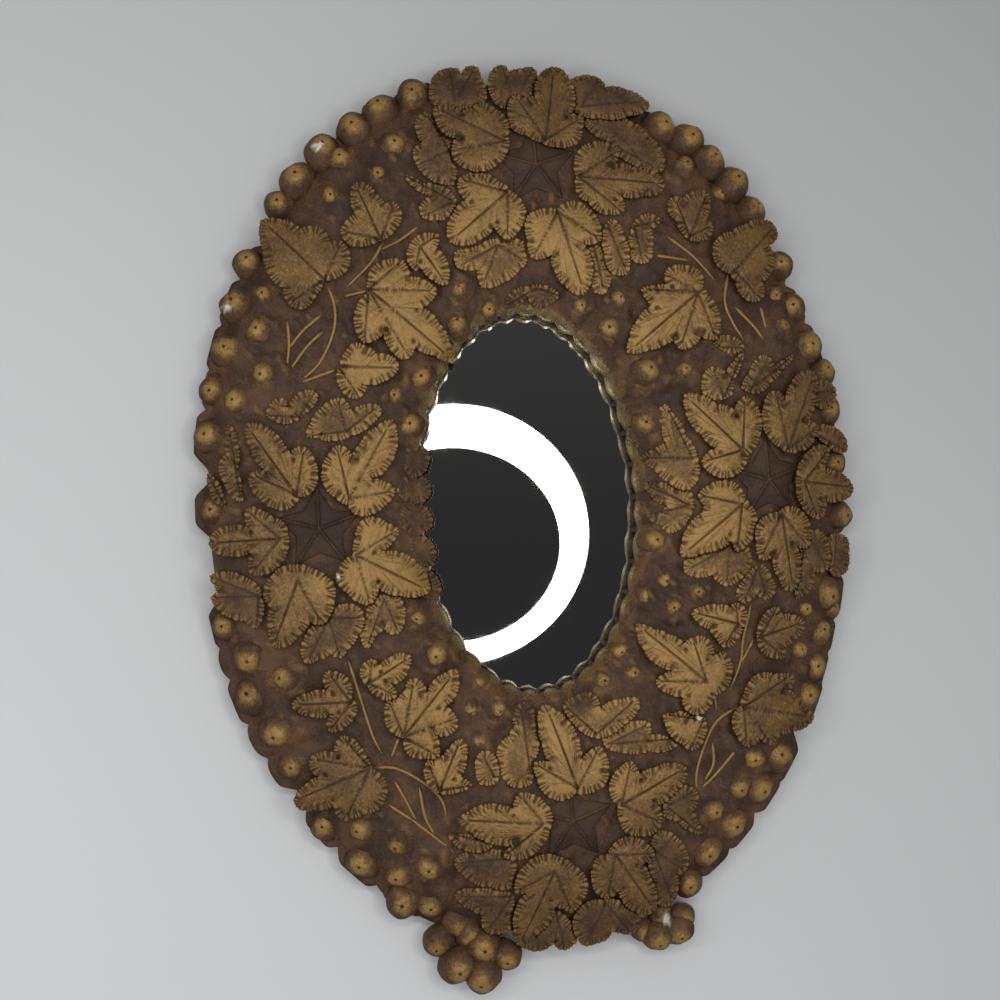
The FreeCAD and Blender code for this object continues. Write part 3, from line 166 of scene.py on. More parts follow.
def buildPiece(name, shells, material, nodes):
    # joins closed shells given in mm as (x, z, height) into one mesh with faces outwards
    verts, quads, tris, lists, offset = [], [], [], {}, 0
    for shellVerts, shellQuads, shellTris, shellLists in shells:
        spots = np.stack([shellVerts[:, 0], -shellVerts[:, 2], shellVerts[:, 1]], -1) * mm
        corners = np.vstack([shellQuads[:, [0, 1, 2]], shellQuads[:, [0, 2, 3]], shellTris])
        a, b, c = (spots[corners[:, k]] for k in range(3))
        if np.einsum("ij,ij->i", a, np.cross(b, c)).sum() < 0:
            shellQuads, shellTris = shellQuads[:, ::-1], shellTris[:, ::-1]
        verts.append(spots)
        quads.append(shellQuads + offset)
        tris.append(shellTris + offset)
        for key, value in shellLists.items():
            lists.setdefault(key, []).append(value)
        offset += len(spots)
    verts, quads, tris = np.vstack(verts), np.vstack(quads), np.vstack(tris)
    mesh = bpy.data.meshes.new(name)
    mesh.vertices.add(len(verts))
    mesh.vertices.foreach_set("co", verts.ravel())
    loops = np.concatenate([quads.ravel(), tris.ravel()]).astype(np.int32)
    mesh.loops.add(len(loops))
    mesh.loops.foreach_set("vertex_index", loops)
    starts = np.concatenate([np.arange(len(quads)) * 4, len(quads) * 4 + np.arange(len(tris)) * 3])
    mesh.polygons.add(len(starts))
    mesh.polygons.foreach_set("loop_start", starts.astype(np.int32))
    mesh.polygons.foreach_set("use_smooth", np.ones(len(starts), bool))
    for key, value in lists.items():
        layer = mesh.attributes.new(key, "FLOAT", "POINT")
        layer.data.foreach_set("value", np.concatenate(value).astype(np.float32))
    mesh.update(calc_edges=True)
    mesh.materials.append(material)
    piece = bpy.data.objects.new(name, mesh)
    bpy.context.collection.objects.link(piece)
    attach(piece, "frame")
    if nodes:
        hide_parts(*nodes)


class Flow:   # a socket of a material; maths on it adds Math nodes
    def __init__(self, tree, socket=None):
        self.tree, self.socket = tree, socket

    def node(self, kind, settings, inputs, out=0):   # any node: its type, settings, values or links
        made = self.tree.nodes.new("ShaderNode" + kind)
        for key, value in settings.items():
            setattr(made, key, value)
        for key, value in inputs.items():
            if isinstance(value, Flow):
                self.tree.links.new(value.socket, made.inputs[key])
            else:
                made.inputs[key].default_value = value
        return Flow(self.tree, made.outputs[out] if len(made.outputs) else None)

    def maths(self, operation, first, second):
        return self.node("Math", {"operation": operation}, {0: first, 1: second})

    def __add__(self, other):
        return self.maths("ADD", self, other)

    def __sub__(self, other):
        return self.maths("SUBTRACT", self, other)

    def __rsub__(self, other):
        return self.maths("SUBTRACT", other, self)

    def __mul__(self, other):
        return self.maths("MULTIPLY", self, other)

    __radd__ = __add__
    __rmul__ = __mul__


def newMaterial(name):
    material = bpy.data.materials.new(name)
    material.use_nodes = True
    material.node_tree.nodes.clear()
    return material, Flow(material.node_tree)


def closeMaterial(flow, sockets):   # one Principled shader to the output
    shader = flow.node("BsdfPrincipled", {}, sockets)
    flow.node("OutputMaterial", {}, {"Surface": shader})


def objectCoords(flow):
    return flow.node("TexCoord", {}, {}, "Object")


def carvedValue(flow, name):   # a value that the carving left on each point
    return flow.node("Attribute", {"attribute_name": name}, {}, "Fac")


def axisOf(flow, coords, axis):
    return flow.node("SeparateXYZ", {}, {"Vector": coords}, axis)


def colourMix(flow, share, first, second):
    return flow.node("Mix", {"data_type": "RGBA", "clamp_factor": True}, {0: share, 6: first, 7: second}, 2)


def rise(flow, value, low, high):   # 0 to 1 between two values, as an S
    return flow.node("MapRange", {"interpolation_type": "SMOOTHSTEP"},
                     {"Value": value, "From Min": low, "From Max": high})


def speckle(flow, coords, scale, detail=3.0, rough=0.6):
    return flow.node("TexNoise", {}, {"Vector": coords, "Scale": scale, "Detail": detail, "Roughness": rough})


def bumps(flow, strength, distance, height):
    return flow.node("Bump", {}, {"Strength": strength, "Distance": distance, "Height": height})


def linear(r, g, b):   # a colour read off the paint in 0 to 255, as a socket takes it
    return tuple(((v / 255 + 0.055) / 1.055) ** 2.4 if v > 10 else v / 3294 for v in (r, g, b)) + (1.0,)


# gilding: its colours, among them a painted shade and a painted glint, its speckles as scale, detail and
# roughness, and where each rise starts and ends
gilding = {"goldLight": linear(160, 126, 72), "goldDeep": linear(116, 88, 46), "highlight": linear(205, 180, 138),
           "paintLight": linear(100, 74, 48), "paintDark": linear(68, 48, 34), "shadeColour": linear(40, 29, 21),
           "chip": linear(222, 218, 208), "grain": (820.0, 4.0, 0.65), "dust": (2600.0, 2.0),
           "patch": (75.0, 3.0), "spots": (260.0, 2.0), "coverRise": (0.22, 0.72), "paintRise": (0.3, 0.75),
           "goldRise": (0.3, 0.7), "highlightRise": (0.62, 0.78), "highlightShare": 0.6, "shadeShare": 0.85,
           "rough": 0.64, "bump": (0.5, 0.0006), "specular": 0.3}


def gildedMaterial(name, gain, lift, shine, ragged):
    # brown paint with bronze gold where the carving's "gild" is high, a dark painted shade where the carving
    # marks shade, pale specks of painted glint, and white at a "chip"
    material, flow = newMaterial(name)
    coords = objectCoords(flow)
    gild, paintedShade, chip = (carvedValue(flow, key) for key in ("gild", "paintedShade", "chip"))
    grain, dust = (speckle(flow, coords, *gilding[key]) for key in ("grain", "dust"))
    patch, spots = (speckle(flow, coords, *gilding[key]) for key in ("patch", "spots"))
    fleck, blotch = grain - 0.5, patch - 0.5
    rubbed = gild * gain + lift + fleck * 0.6 + blotch * 0.4 + (spots - 0.5) * ragged
    cover = rise(flow, rubbed, *gilding["coverRise"])
    tone = rise(flow, patch + fleck * 0.6, *gilding["paintRise"])
    paint = colourMix(flow, tone, gilding["paintDark"], gilding["paintLight"])
    bright = dust * 0.5 + grain * 0.5 + blotch * 0.5 + (gild - 0.8) * 0.9
    bright = rise(flow, bright, *gilding["goldRise"])
    gold = colourMix(flow, bright, gilding["goldDeep"], gilding["goldLight"])
    # painted highlight: pale specks in the finest grain stand for glints on the gold
    highlighted = rise(flow, dust + fleck * 0.5, *gilding["highlightRise"])
    gold = colourMix(flow, highlighted * gilding["highlightShare"], gold, gilding["highlight"])
    colour = colourMix(flow, cover, paint, gold)
    # painted shade: darkened towards a colour darker than the paint where the carving marks shade
    colour = colourMix(flow, paintedShade * gilding["shadeShare"], colour, gilding["shadeColour"])
    colour = colourMix(flow, chip, colour, gilding["chip"])
    relief = bumps(flow, *gilding["bump"], grain * 0.6 + dust * 0.3 + spots * 2.0 * ragged)
    closeMaterial(flow, {"Base Color": colour, "Roughness": gilding["rough"] - cover * 0.2 + fleck * 0.2,
                         "Metallic": cover * shine, "Normal": relief,
                         "Specular IOR Level": gilding["specular"]})
    return material


leafGilding = gildedMaterial("leafGilding", gain=1.0, lift=-0.1, shine=0.3, ragged=0.2)
underGilding = gildedMaterial("underGilding", gain=0.95, lift=-0.03, shine=0.25, ragged=0.4)
grapeGilding = gildedMaterial("grapeGilding", gain=0.95, lift=-0.17, shine=0.25, ragged=0.9)
stemGilding = gildedMaterial("stemGilding", gain=1.0, lift=-0.1, shine=0.3, ragged=0.3)

# paint of the ground, with the pale colour of a painted highlight along the sight edge
hollowPaint = {"bright": linear(172, 155, 118), "grain": (900.0, 4.0, 0.65), "patch": (60.0, 3.0),
               "paintRise": (0.32, 0.72), "rubRise": (0.62, 1.0), "sheenRise": (0.3, 0.8), "rubShare": 0.75,
               "rough": 0.62, "bump": (0.5, 0.0005), "specular": 0.3}


def groundMaterial(name, dark, pale):
    # dark paint in the hollows, dusty, a little gilded where "gild" is high, and a pale glossy painted
    # highlight along the lip of the sight edge
    material, flow = newMaterial(name)
    coords = objectCoords(flow)
    gild, lipSheen = carvedValue(flow, "gild"), carvedValue(flow, "lipSheen")
    grain, patch = (speckle(flow, coords, *hollowPaint[key]) for key in ("grain", "patch"))
    fleck = grain - 0.5
    paint = colourMix(flow, rise(flow, patch + fleck * 0.7, *hollowPaint["paintRise"]), dark, pale)
    rub = rise(flow, gild + fleck * 0.8 + (patch - 0.5) * 0.4, *hollowPaint["rubRise"])
    # painted highlight: pale, glossy and a little metallic along the lip
    sheen = rise(flow, lipSheen + fleck * 0.7, *hollowPaint["sheenRise"])
    colour = colourMix(flow, rub * hollowPaint["rubShare"], paint, gilding["goldDeep"])
    colour = colourMix(flow, sheen, colour, hollowPaint["bright"])
    rough = hollowPaint["rough"] - rub * 0.15 - sheen * 0.36 + fleck * 0.2
    closeMaterial(flow, {"Base Color": colour, "Roughness": rough, "Metallic": rub * 0.25 + sheen * 0.6,
                         "Normal": bumps(flow, *hollowPaint["bump"], grain),
                         "Specular IOR Level": hollowPaint["specular"]})
    return material


groundPaint = groundMaterial("groundPaint", linear(61, 43, 31), linear(94, 67, 45))
starPaint = groundMaterial("starPaint", linear(56, 42, 32), linear(78, 58, 43))
print("gilding mixed")

# grapes by size: radius in mm, then where each one sits, mm across and up
grapeShape = {"large": 9.4, "middle": 8.0, "small": 6.4, "sink": 3.0, "wallClearance": 1.5, "columns": 30,
              "eyeRings": (0.02, 0.34, 8), "ballRings": (0.45, 3.1, 10), "tilt": 0.45, "tiltSpread": 0.16,
              "fill": 0.97, "lump": 0.05, "dimple": 0.7, "dimpleWidth": 0.085, "coverLift": 3.0,
              "tuckRange": (-0.6, 0.2)}
grapeRub = {"base": 0.2, "crown": 0.55, "crownRange": (0.15, 1.15), "front": 0.2, "frontRange": (0.1, 0.9),
            "hole": 0.6, "holeShade": 0.65, "sideShade": 0.45, "sideRange": (-0.2, 0.4), "chipRange": (0, 0.2)}
grapes = {
    "upper_left_grapes": {
        "large": [(-42, 195), (-58, 188), (-71, 180), (-87, 170), (-99, 157), (-129.5, 99.3), (-135, 78),
                  (-145, 39)],
        "middle": [(-108, 146), (-78, 165), (-54, 170), (-124, 119), (-120, 86), (-119, 66), (-143, 61),
                   (-132, 54), (-145, 5)],
        "small": [(-62, 156), (-84, 148), (-117, 103)]},
    "upper_right_grapes": {
        "large": [(75, 176), (88, 170), (98, 159), (109, 148), (140, 67)],
        "middle": [(84, 155), (118, 135), (130, 108), (135, 87), (147.4, 54.4), (149, 36), (149.5, 10.3)],
        "small": [(101, 143), (124, 93), (126, 77)]},
    "lower_right_grapes": {
        "large": [(140, -51), (127, -100), (112, -127), (101, -140), (87, -156), (74, -168)],
        "middle": [(151, -14), (136, -70), (133, -86), (99, -126), (91, -139), (77, -149), (66, -184)],
        "small": [(144, -59), (124, -77), (128, -58), (52, -197), (63, -200)]},
    "lower_left_grapes": {
        "large": [(-133, -63), (-133, -82), (-122, -98), (-86, -161), (-69, -181)],
        "middle": [(-143, -49), (-117, -74), (-116, -114), (-103, -144), (-86, -145), (-70, -152),
                   (-70, -168), (-57, -165), (-57, -183), (-45, -194)]},
    "rim_grapes": {
        "large": [(58, 58)],
        "middle": [(-29, 84), (-47, 61), (-54, 39), (43, 80), (57, 34), (58, -22), (-48, -68)],
        "small": [(-27, 101), (-14, 92), (29, 91), (47, 93), (77, 58), (-60, 53), (-56, -51), (62, -40),
                  (76, -46), (52, -47), (65, -53), (43, -83), (29, -86), (39, -72), (-29, -82),
                  (-34, -94), (-31, -108), (-21, -95)]},
    "left_bunch": {
        "large": [(-33.5, -205.7), (-46, -213.5), (-34, -219)],
        "middle": [(-54, -201.7), (-23, -211), (-40, -199)]},
    "right_bunch": {
        "middle": [(50, -208), (60, -206)],
        "small": [(43, -205), (52, -199)]},
}

# carved ground of the band
ground = {"columns": 900, "rows": 64, "crowding": 1.15, "lift": 0.45, "waves": 0.75, "gouge": 8.5,
          "swell": 0.28, "swellRange": (0.75, 1.8), "lobes": 36, "lobeDepth": 2.0, "lobeReach": 0.09,
          "push": 0.8, "pushStart": 0.84, "calmSight": 0.04, "calmEdge": 0.97, "swellEnd": 0.9,
          "rimGrow": 1.002, "under": 2.0, "underStep": 7, "underDraw": (0.99, 1.01), "skirt": 2.3}
groundRub = {"flat": 0.4, "wave": 0.35, "swell": 0.08, "sight": 0.5, "hidden": 0.2}
lipGlint = {"start": 0.15, "valley": 0.55, "behind": 0.35, "behindCrown": 0.5, "far": 0.62, "side": 2.2,
           "sideRange": (-0.4, 0.4)}                                       # painted highlight strongest towards one side


def grapeSwell(x, z):   # the ground rises to each grape, the more the larger the grape
    swell = np.zeros_like(x)
    for sizes in grapes.values():
        for size, places in sizes.items():
            radius = grapeShape[size]
            for place in places:
                away = np.hypot(x - place[0], z - place[1]) / radius
                near = 1 - smooth(away, *ground["swellRange"])
                swell = np.maximum(swell, radius * ground["swell"] * near)
    return swell


def carveGround():
    # angle round the oval by share from the sight edge to the outer edge, then back inside the plank; the
    # sight edge is scalloped, and the height is the band's with chisel waves, rising to the grapes
    turn = fullTurn(ground["columns"])
    share = np.linspace(0, 1, ground["rows"]) ** ground["crowding"]
    a, b = ovalAt(share[:, None], band["sight"], band["outer"])
    inner = 1 - smooth(share, 0, ground["lobeReach"])[:, None]
    crown = np.abs(np.sin(turn * ground["lobes"] / 2))
    lobe = ground["lobeDepth"] * crown * inner
    x, z = (a - lobe) * np.cos(turn), (b - lobe) * np.sin(turn)
    edge = smooth(share, ground["pushStart"], 1)[:, None]
    push = ground["push"] * grapeSwell(x, z) / ground["swell"] * edge      # the outer edge follows its grapes
    x, z = x + push * np.cos(turn), z + push * np.sin(turn)
    ripple = carvedWaves(x, z, ground["gouge"])
    fade = smooth(share, 0, ground["calmSight"]) * (1 - smooth(share, ground["calmEdge"], 1))
    swell = grapeSwell(x, z) * (1 - smooth(share, ground["swellEnd"], 1))[:, None]
    plain = bandHeight(x, z)
    height = plain + ground["lift"] + ground["waves"] * ripple * fade[:, None] + swell
    front = np.dstack([x, z, height])
    rimHeight = np.full_like(turn, band["back"] + band["skin"])
    rim = np.stack([x[-1] * ground["rimGrow"], z[-1] * ground["rimGrow"], rimHeight], -1)[None]
    under = np.dstack([x, z, plain - ground["under"] - ground["skirt"] * inner])[::-1]
    under[0, :, :2] *= ground["underDraw"][0]                              # kept off the front at both edges
    under[-1, :, :2] *= ground["underDraw"][1]
    points = np.vstack([front, rim, under[::ground["underStep"]]])
    hidden = np.ones((len(points) - len(front), ground["columns"]))
    gild = groundRub["flat"] + groundRub["wave"] * ripple + groundRub["swell"] * swell
    gild = np.vstack([gild + groundRub["sight"] * inner, groundRub["hidden"] * hidden])
    # painted highlight along the lip of the sight edge, strongest on the lobes and towards one side
    scallop = lipGlint["valley"] + (1 - lipGlint["valley"]) * crown
    lipSheen = np.vstack([(inner - lipGlint["start"]) * scallop, 0 * hidden])
    lipSheen[-1] = lipGlint["behind"] + lipGlint["behindCrown"] * crown
    sheen = smooth(np.cos(turn - lipGlint["side"]), *lipGlint["sideRange"])
    lipSheen = lipSheen * (lipGlint["far"] + (1 - lipGlint["far"]) * sheen)
    return [closedGrid(points, {"gild": gild, "lipSheen": lipSheen}, ring=True)]


buildPiece("carvedGround", carveGround(), groundPaint, [])
print("ground carved")

# leaves: where the stalk ends on each, then places round its edge, in mm across and up
leafShape = {"bulge": 0.1, "arcSteps": 12, "notchAngle": 2.0, "overhang": 11.0, "hubGrid": 27,
             "innerRings": (0.06, 0.62, 9), "outerRings": (0.67, 1.0, 13), "lean": 0.02, "coarseStep": 1.4,
             "cutStep": 2.3, "cutLength": 4.8, "cutSpread": (0.65, 1.1), "cutFade": 0.5, "cutWidth": 0.2,
             "waver": 0.3, "waverTurns": 1.7, "tooth": 0.5, "tipShare": 0.4, "veinWidth": 0.45,
             "veinTaper": (1.2, 0.6), "veinShare": 0.88, "eyeRadius": 0.95, "eyeInset": 3.0,
             "swellReach": 7.0, "swellBase": 0.6, "tuck": 3.2, "tuckRange": (-1.2, 0.5), "clearance": 0.9,
             "ledgeShare": 0.03, "ledgeRange": (0.01, 0.1), "creaseEnd": 0.06}
leafRub = {"full": 1.02, "edgeStart": 0.5, "outer": 0.28, "outerRange": (0.2, 0.85), "cut": 0.3, "vein": 0.25,
           "sightRange": (0.04, 0.16), "veinShade": 0.7, "eyeShade": 0.8, "cutShade": 0.72}
sideVeins = {"roots": ((0.25, 1), (0.35, -1), (0.45, 1), (0.55, -1), (0.65, 1), (0.72, -1)), "slant": 0.75,
             "length": 0.3, "shorten": 0.6, "width": 0.7, "depth": 0.24}
# rings past the edge: out from it, below it, then in under the leaf, with their gold and their painted shade,
# darker the farther under the leaf
leafWall = {"spread": (0.18, 0.1, -0.5, -1.2), "drop": (0.2, 0.7, 0.7), "halfway": 0.55, "below": (0.6, 0.15),
            "gild": (0.7, 0.45, 0.1, 0, 0, 0), "paintedShade": (0, 0.1, 0.45, 0.7, 0.7, 0.7)}
raisedKind = {"thickness": 6.0, "step": 0.42, "cut": 0.75, "vein": 0.6, "eye": 1.0, "puff": 0.45,
              "edgeGold": 0.1, "edgeWidth": 5.0, "rimShade": 0.0, "ledge": 0.0}
lowerKind = {"thickness": 3.0, "step": 0.5, "cut": 0.55, "vein": 0.3, "eye": 0.0, "puff": 0.7,
             "edgeGold": 0.38, "edgeWidth": 6.0, "rimShade": 0.4, "ledge": 0.0}
ledgeKind = {**lowerKind, "vein": 0.0, "ledge": 3.0, "rimShade": 0.5}   # lobes at the glass, sinking outwards
# white chips: mm across, up and radius
chipEdge = {"ragged": 0.5, "wave": 3.0, "inner": 0.6, "outer": 1.1}
chips = [(-88.7, 172.2, 2.2), (-135.9, 97.9, 2.0), (53.8, -201.0, 2.2), (72.5, -105.5, 1.3),
         (-91.6, -29.4, 1.0)]
rosetteLeaves = {
    "top": [
        ((-2, 169), [(-12, 188.5), (-5, 184.5), (-0.5, 180), (-0.3, 172), (-2, 163), (-6.5, 158),
         (-14.5, 155), (-20, 156), (-25.5, 159.5), (-27.5, 165.5), (-25, 171.5), (-30.5, 174), (-34, 181),
         (-34.3, 187), (-28, 187.5), (-21.5, 184.5), (-16.5, 185.5)]),
        ((17, 169), [(4, 192), (10, 189.5), (14, 191), (16.5, 200.5), (20, 204.6), (24.6, 206.3),
         (28.6, 205), (31.5, 199), (33, 193), (30.5, 181.5), (35.8, 180), (35, 174), (33, 168), (29, 165.7),
         (22, 165.5), (15, 168), (8.5, 171.5), (1, 175.5), (0.3, 181), (1.5, 189)]),
        ((31.5, 151), [(30.3, 151), (30, 158), (33, 164), (38, 167), (48.5, 166.3), (52.3, 163.5),
         (49, 156.5), (58, 155), (70, 151.5), (72.8, 146.5), (70.5, 142.3), (62, 141), (51, 141),
         (52.7, 136), (51.5, 133.3), (45, 132.5), (39, 134.5), (35.5, 139), (31, 141.5), (29.7, 146)]),
        ((20.5, 135), [(20.5, 136), (24, 138.7), (30, 139.2), (35, 135.7), (39, 131.5), (40.3, 120.5),
         (32, 118.8), (35, 113), (35, 103), (31, 95.8), (28, 95.4), (22.5, 99.5), (17.5, 107),
         (16.3, 114.8), (7.3, 113), (5.4, 122), (5.5, 132.5), (8, 134.7)]),
        ((-2.5, 145), [(-20.5, 154.3), (-13, 154), (-6.5, 150), (-1, 145), (4.5, 139), (5.5, 134), (2, 127),
         (-4, 122.3), (-9.8, 128.5), (-16, 123.5), (-24, 120.6), (-31, 122.5), (-32, 129), (-28.5, 136),
         (-22.5, 142), (-25.7, 147), (-25, 152)])],
    "right": [
        ((101.5, 18.5), [(103.5, 15.5), (101.5, 10), (98, 7.2), (91, 5.8), (86, 8), (81.4, 13.8),
         (84, 17.7), (88.8, 20), (82, 26.8), (77.5, 32), (75.2, 39), (75, 46), (80, 46.2), (90, 40.7),
         (99, 37.3), (100.2, 40.8), (104.2, 43.8), (108, 41.5), (111.5, 33), (110.5, 25.5)]),
        ((124, 18), [(125, 16), (119.5, 19), (114.5, 24), (112, 30), (113, 38), (116.5, 45), (119.8, 46),
         (124.5, 41.3), (127.5, 48.5), (135, 55), (140.5, 54), (141.5, 50), (140, 42), (135.5, 31.5),
         (140, 27.5), (138, 22.5), (134, 18), (130, 16.5)]),
        ((131, 2), [(126.8, 0), (127.5, 6), (130.5, 12.5), (135, 17), (140, 19.2), (145.3, 17.5), (143, 11),
         (141.7, 7.8), (148, 6), (154.5, 2.5), (157.7, -2), (155.5, -5.8), (149, -8), (141.5, -7.7),
         (140.2, -14.5), (137, -16.2), (132.5, -14), (128.7, -9)]),
        ((118.5, -12.5), [(117, -11.8), (122, -9.2), (127, -10.5), (131.5, -16), (132.5, -23), (131, -29.2),
         (125, -28.7), (126.5, -37), (124.5, -46), (122, -49.3), (118.5, -49), (115.5, -43.5),
         (112.7, -32.8), (106.5, -33.8), (105.3, -25), (106, -17), (111, -13)]),
        ((99.5, -7), [(101, -4.5), (99, 0.8), (95.5, 4), (90.5, 4.6), (84, 2.8), (78.7, -1.5), (81.5, -6.5),
         (80.5, -9.8), (72.5, -17), (69.8, -23.5), (68.8, -29.8), (80, -28.7), (93.5, -23.8), (95.5, -29.2),
         (101, -26), (105.5, -18.5), (105.8, -11.5), (103, -7)])],
    "bottom": [
        ((13, -134), [(11.5, -136), (7, -138.7), (1.5, -138), (-3, -134.5), (-5.5, -128), (-6.6, -120.7),
         (0.8, -121), (-2, -112), (-3, -104), (-2.3, -97), (1, -94.5), (5, -97), (10, -102), (14, -108.5),
         (15.5, -115), (15.8, -121), (20, -117), (24.5, -115.2), (27, -118.5), (27.8, -127), (26.5, -132),
         (23, -135)]),
        ((33, -143), [(31.3, -143.5), (27.6, -136), (29, -130.5), (33, -126), (38.8, -123), (42.3, -129.5),
         (50, -127), (58, -125.5), (64.8, -128), (64.5, -133), (59, -138.8), (50.5, -144.5), (52, -153),
         (48.5, -157), (41.5, -158.2), (35, -156.5), (31.5, -150)]),
        ((29, -166), [(18, -170.5), (20, -166.5), (25.5, -165.3), (28, -161), (33, -158.3), (38.5, -158.2),
         (44, -162), (47.8, -167), (41.7, -171.3), (45, -178), (48.2, -188.5), (47, -194.5), (44, -195.8),
         (37, -193.5), (31.5, -188), (29.7, -183), (24, -186.2), (19.3, -183.3), (17.2, -177)]),
        ((0, -171), [(-13, -166.7), (-6.5, -163.2), (2, -164.3), (9, -169.3), (14.5, -175), (15, -180.5),
         (12.5, -186), (7.3, -191.3), (3.5, -189), (-0.7, -187.3), (-2, -193), (-8, -199.5),
         (-14.5, -204.3), (-18, -205.5), (-19.9, -197), (-18.5, -187), (-13.5, -180.5), (-18.7, -179.5),
         (-18, -173.5)]),
        ((-4, -149), [(-43.5, -144), (-38, -140.3), (-30, -138), (-22, -139.2), (-17.5, -141.3),
         (-17, -137.5), (-14.5, -134), (-8, -134.8), (-3, -139), (0.3, -145), (-1.5, -152), (-5.5, -158.8),
         (-13, -164), (-18, -164.3), (-23.5, -162.7), (-18.5, -157.2), (-25, -157), (-32.5, -154),
         (-38, -150)])],
    "left": [
        ((-108.5, 9), [(-107, 8.2), (-109.5, 4.8), (-113.5, 2.4), (-119, 3.5), (-125, 8.3), (-129.7, 16),
         (-128.5, 20), (-124, 21.7), (-121, 20), (-125.5, 25), (-127.7, 31), (-129.5, 42.7), (-125, 43),
         (-118.5, 39.5), (-112.5, 32), (-110.3, 28), (-106.5, 31.2), (-103.5, 30.8), (-99, 24), (-98.2, 18),
         (-99.5, 12.5), (-102.5, 9)]),
        ((-84.5, 6), [(-85, 3), (-91, 7), (-95.5, 12.5), (-96.5, 18.5), (-93, 26.5), (-88.8, 30.7),
         (-85.5, 30.2), (-82, 25.7), (-78.5, 30.2), (-70, 38.5), (-62.5, 41.6), (-60.4, 34), (-62, 26),
         (-65.5, 20), (-69.5, 16), (-74.5, 15), (-66.5, 12.7), (-62.8, 8.5), (-69, 1.3), (-74.5, -1.7),
         (-79, -2.4), (-83.5, -0.3)]),
        ((-83, -20), [(-84, -19.5), (-82.7, -12), (-81, -6.5), (-77, -3), (-73.5, -3), (-68, -6),
         (-62.3, -9.5), (-64.5, -14), (-71.2, -19.2), (-62, -20), (-54, -26), (-50, -33.5), (-49.4, -38.8),
         (-54, -40.6), (-63, -40), (-73.5, -35.8), (-75, -40), (-77.5, -43), (-81, -42.7), (-88, -37),
         (-92.8, -30.5), (-91, -25.5)]),
        ((-110, -30), [(-116.5, -23.3), (-112, -22.7), (-102, -25.5), (-97, -29), (-93.4, -33.5),
         (-94, -40), (-96, -46.5), (-100, -50.8), (-105.7, -49.2), (-111, -55), (-117.5, -60),
         (-123, -59.5), (-124.3, -53), (-122.8, -41.5), (-125.7, -37), (-125.3, -32), (-121.5, -27)]),
        ((-117, -10.5), [(-113.4, -8), (-114.5, -3.5), (-119.5, -0.8), (-124, 2.5), (-128, 4.7),
         (-131.7, 3.8), (-131.5, -4.3), (-140, -3.3), (-146, -5), (-149.5, -10.5), (-147, -14.5),
         (-140, -17), (-130.3, -15.8), (-131.8, -23), (-131, -26.1), (-122, -25.7), (-116.5, -21),
         (-113.8, -16)])],
}
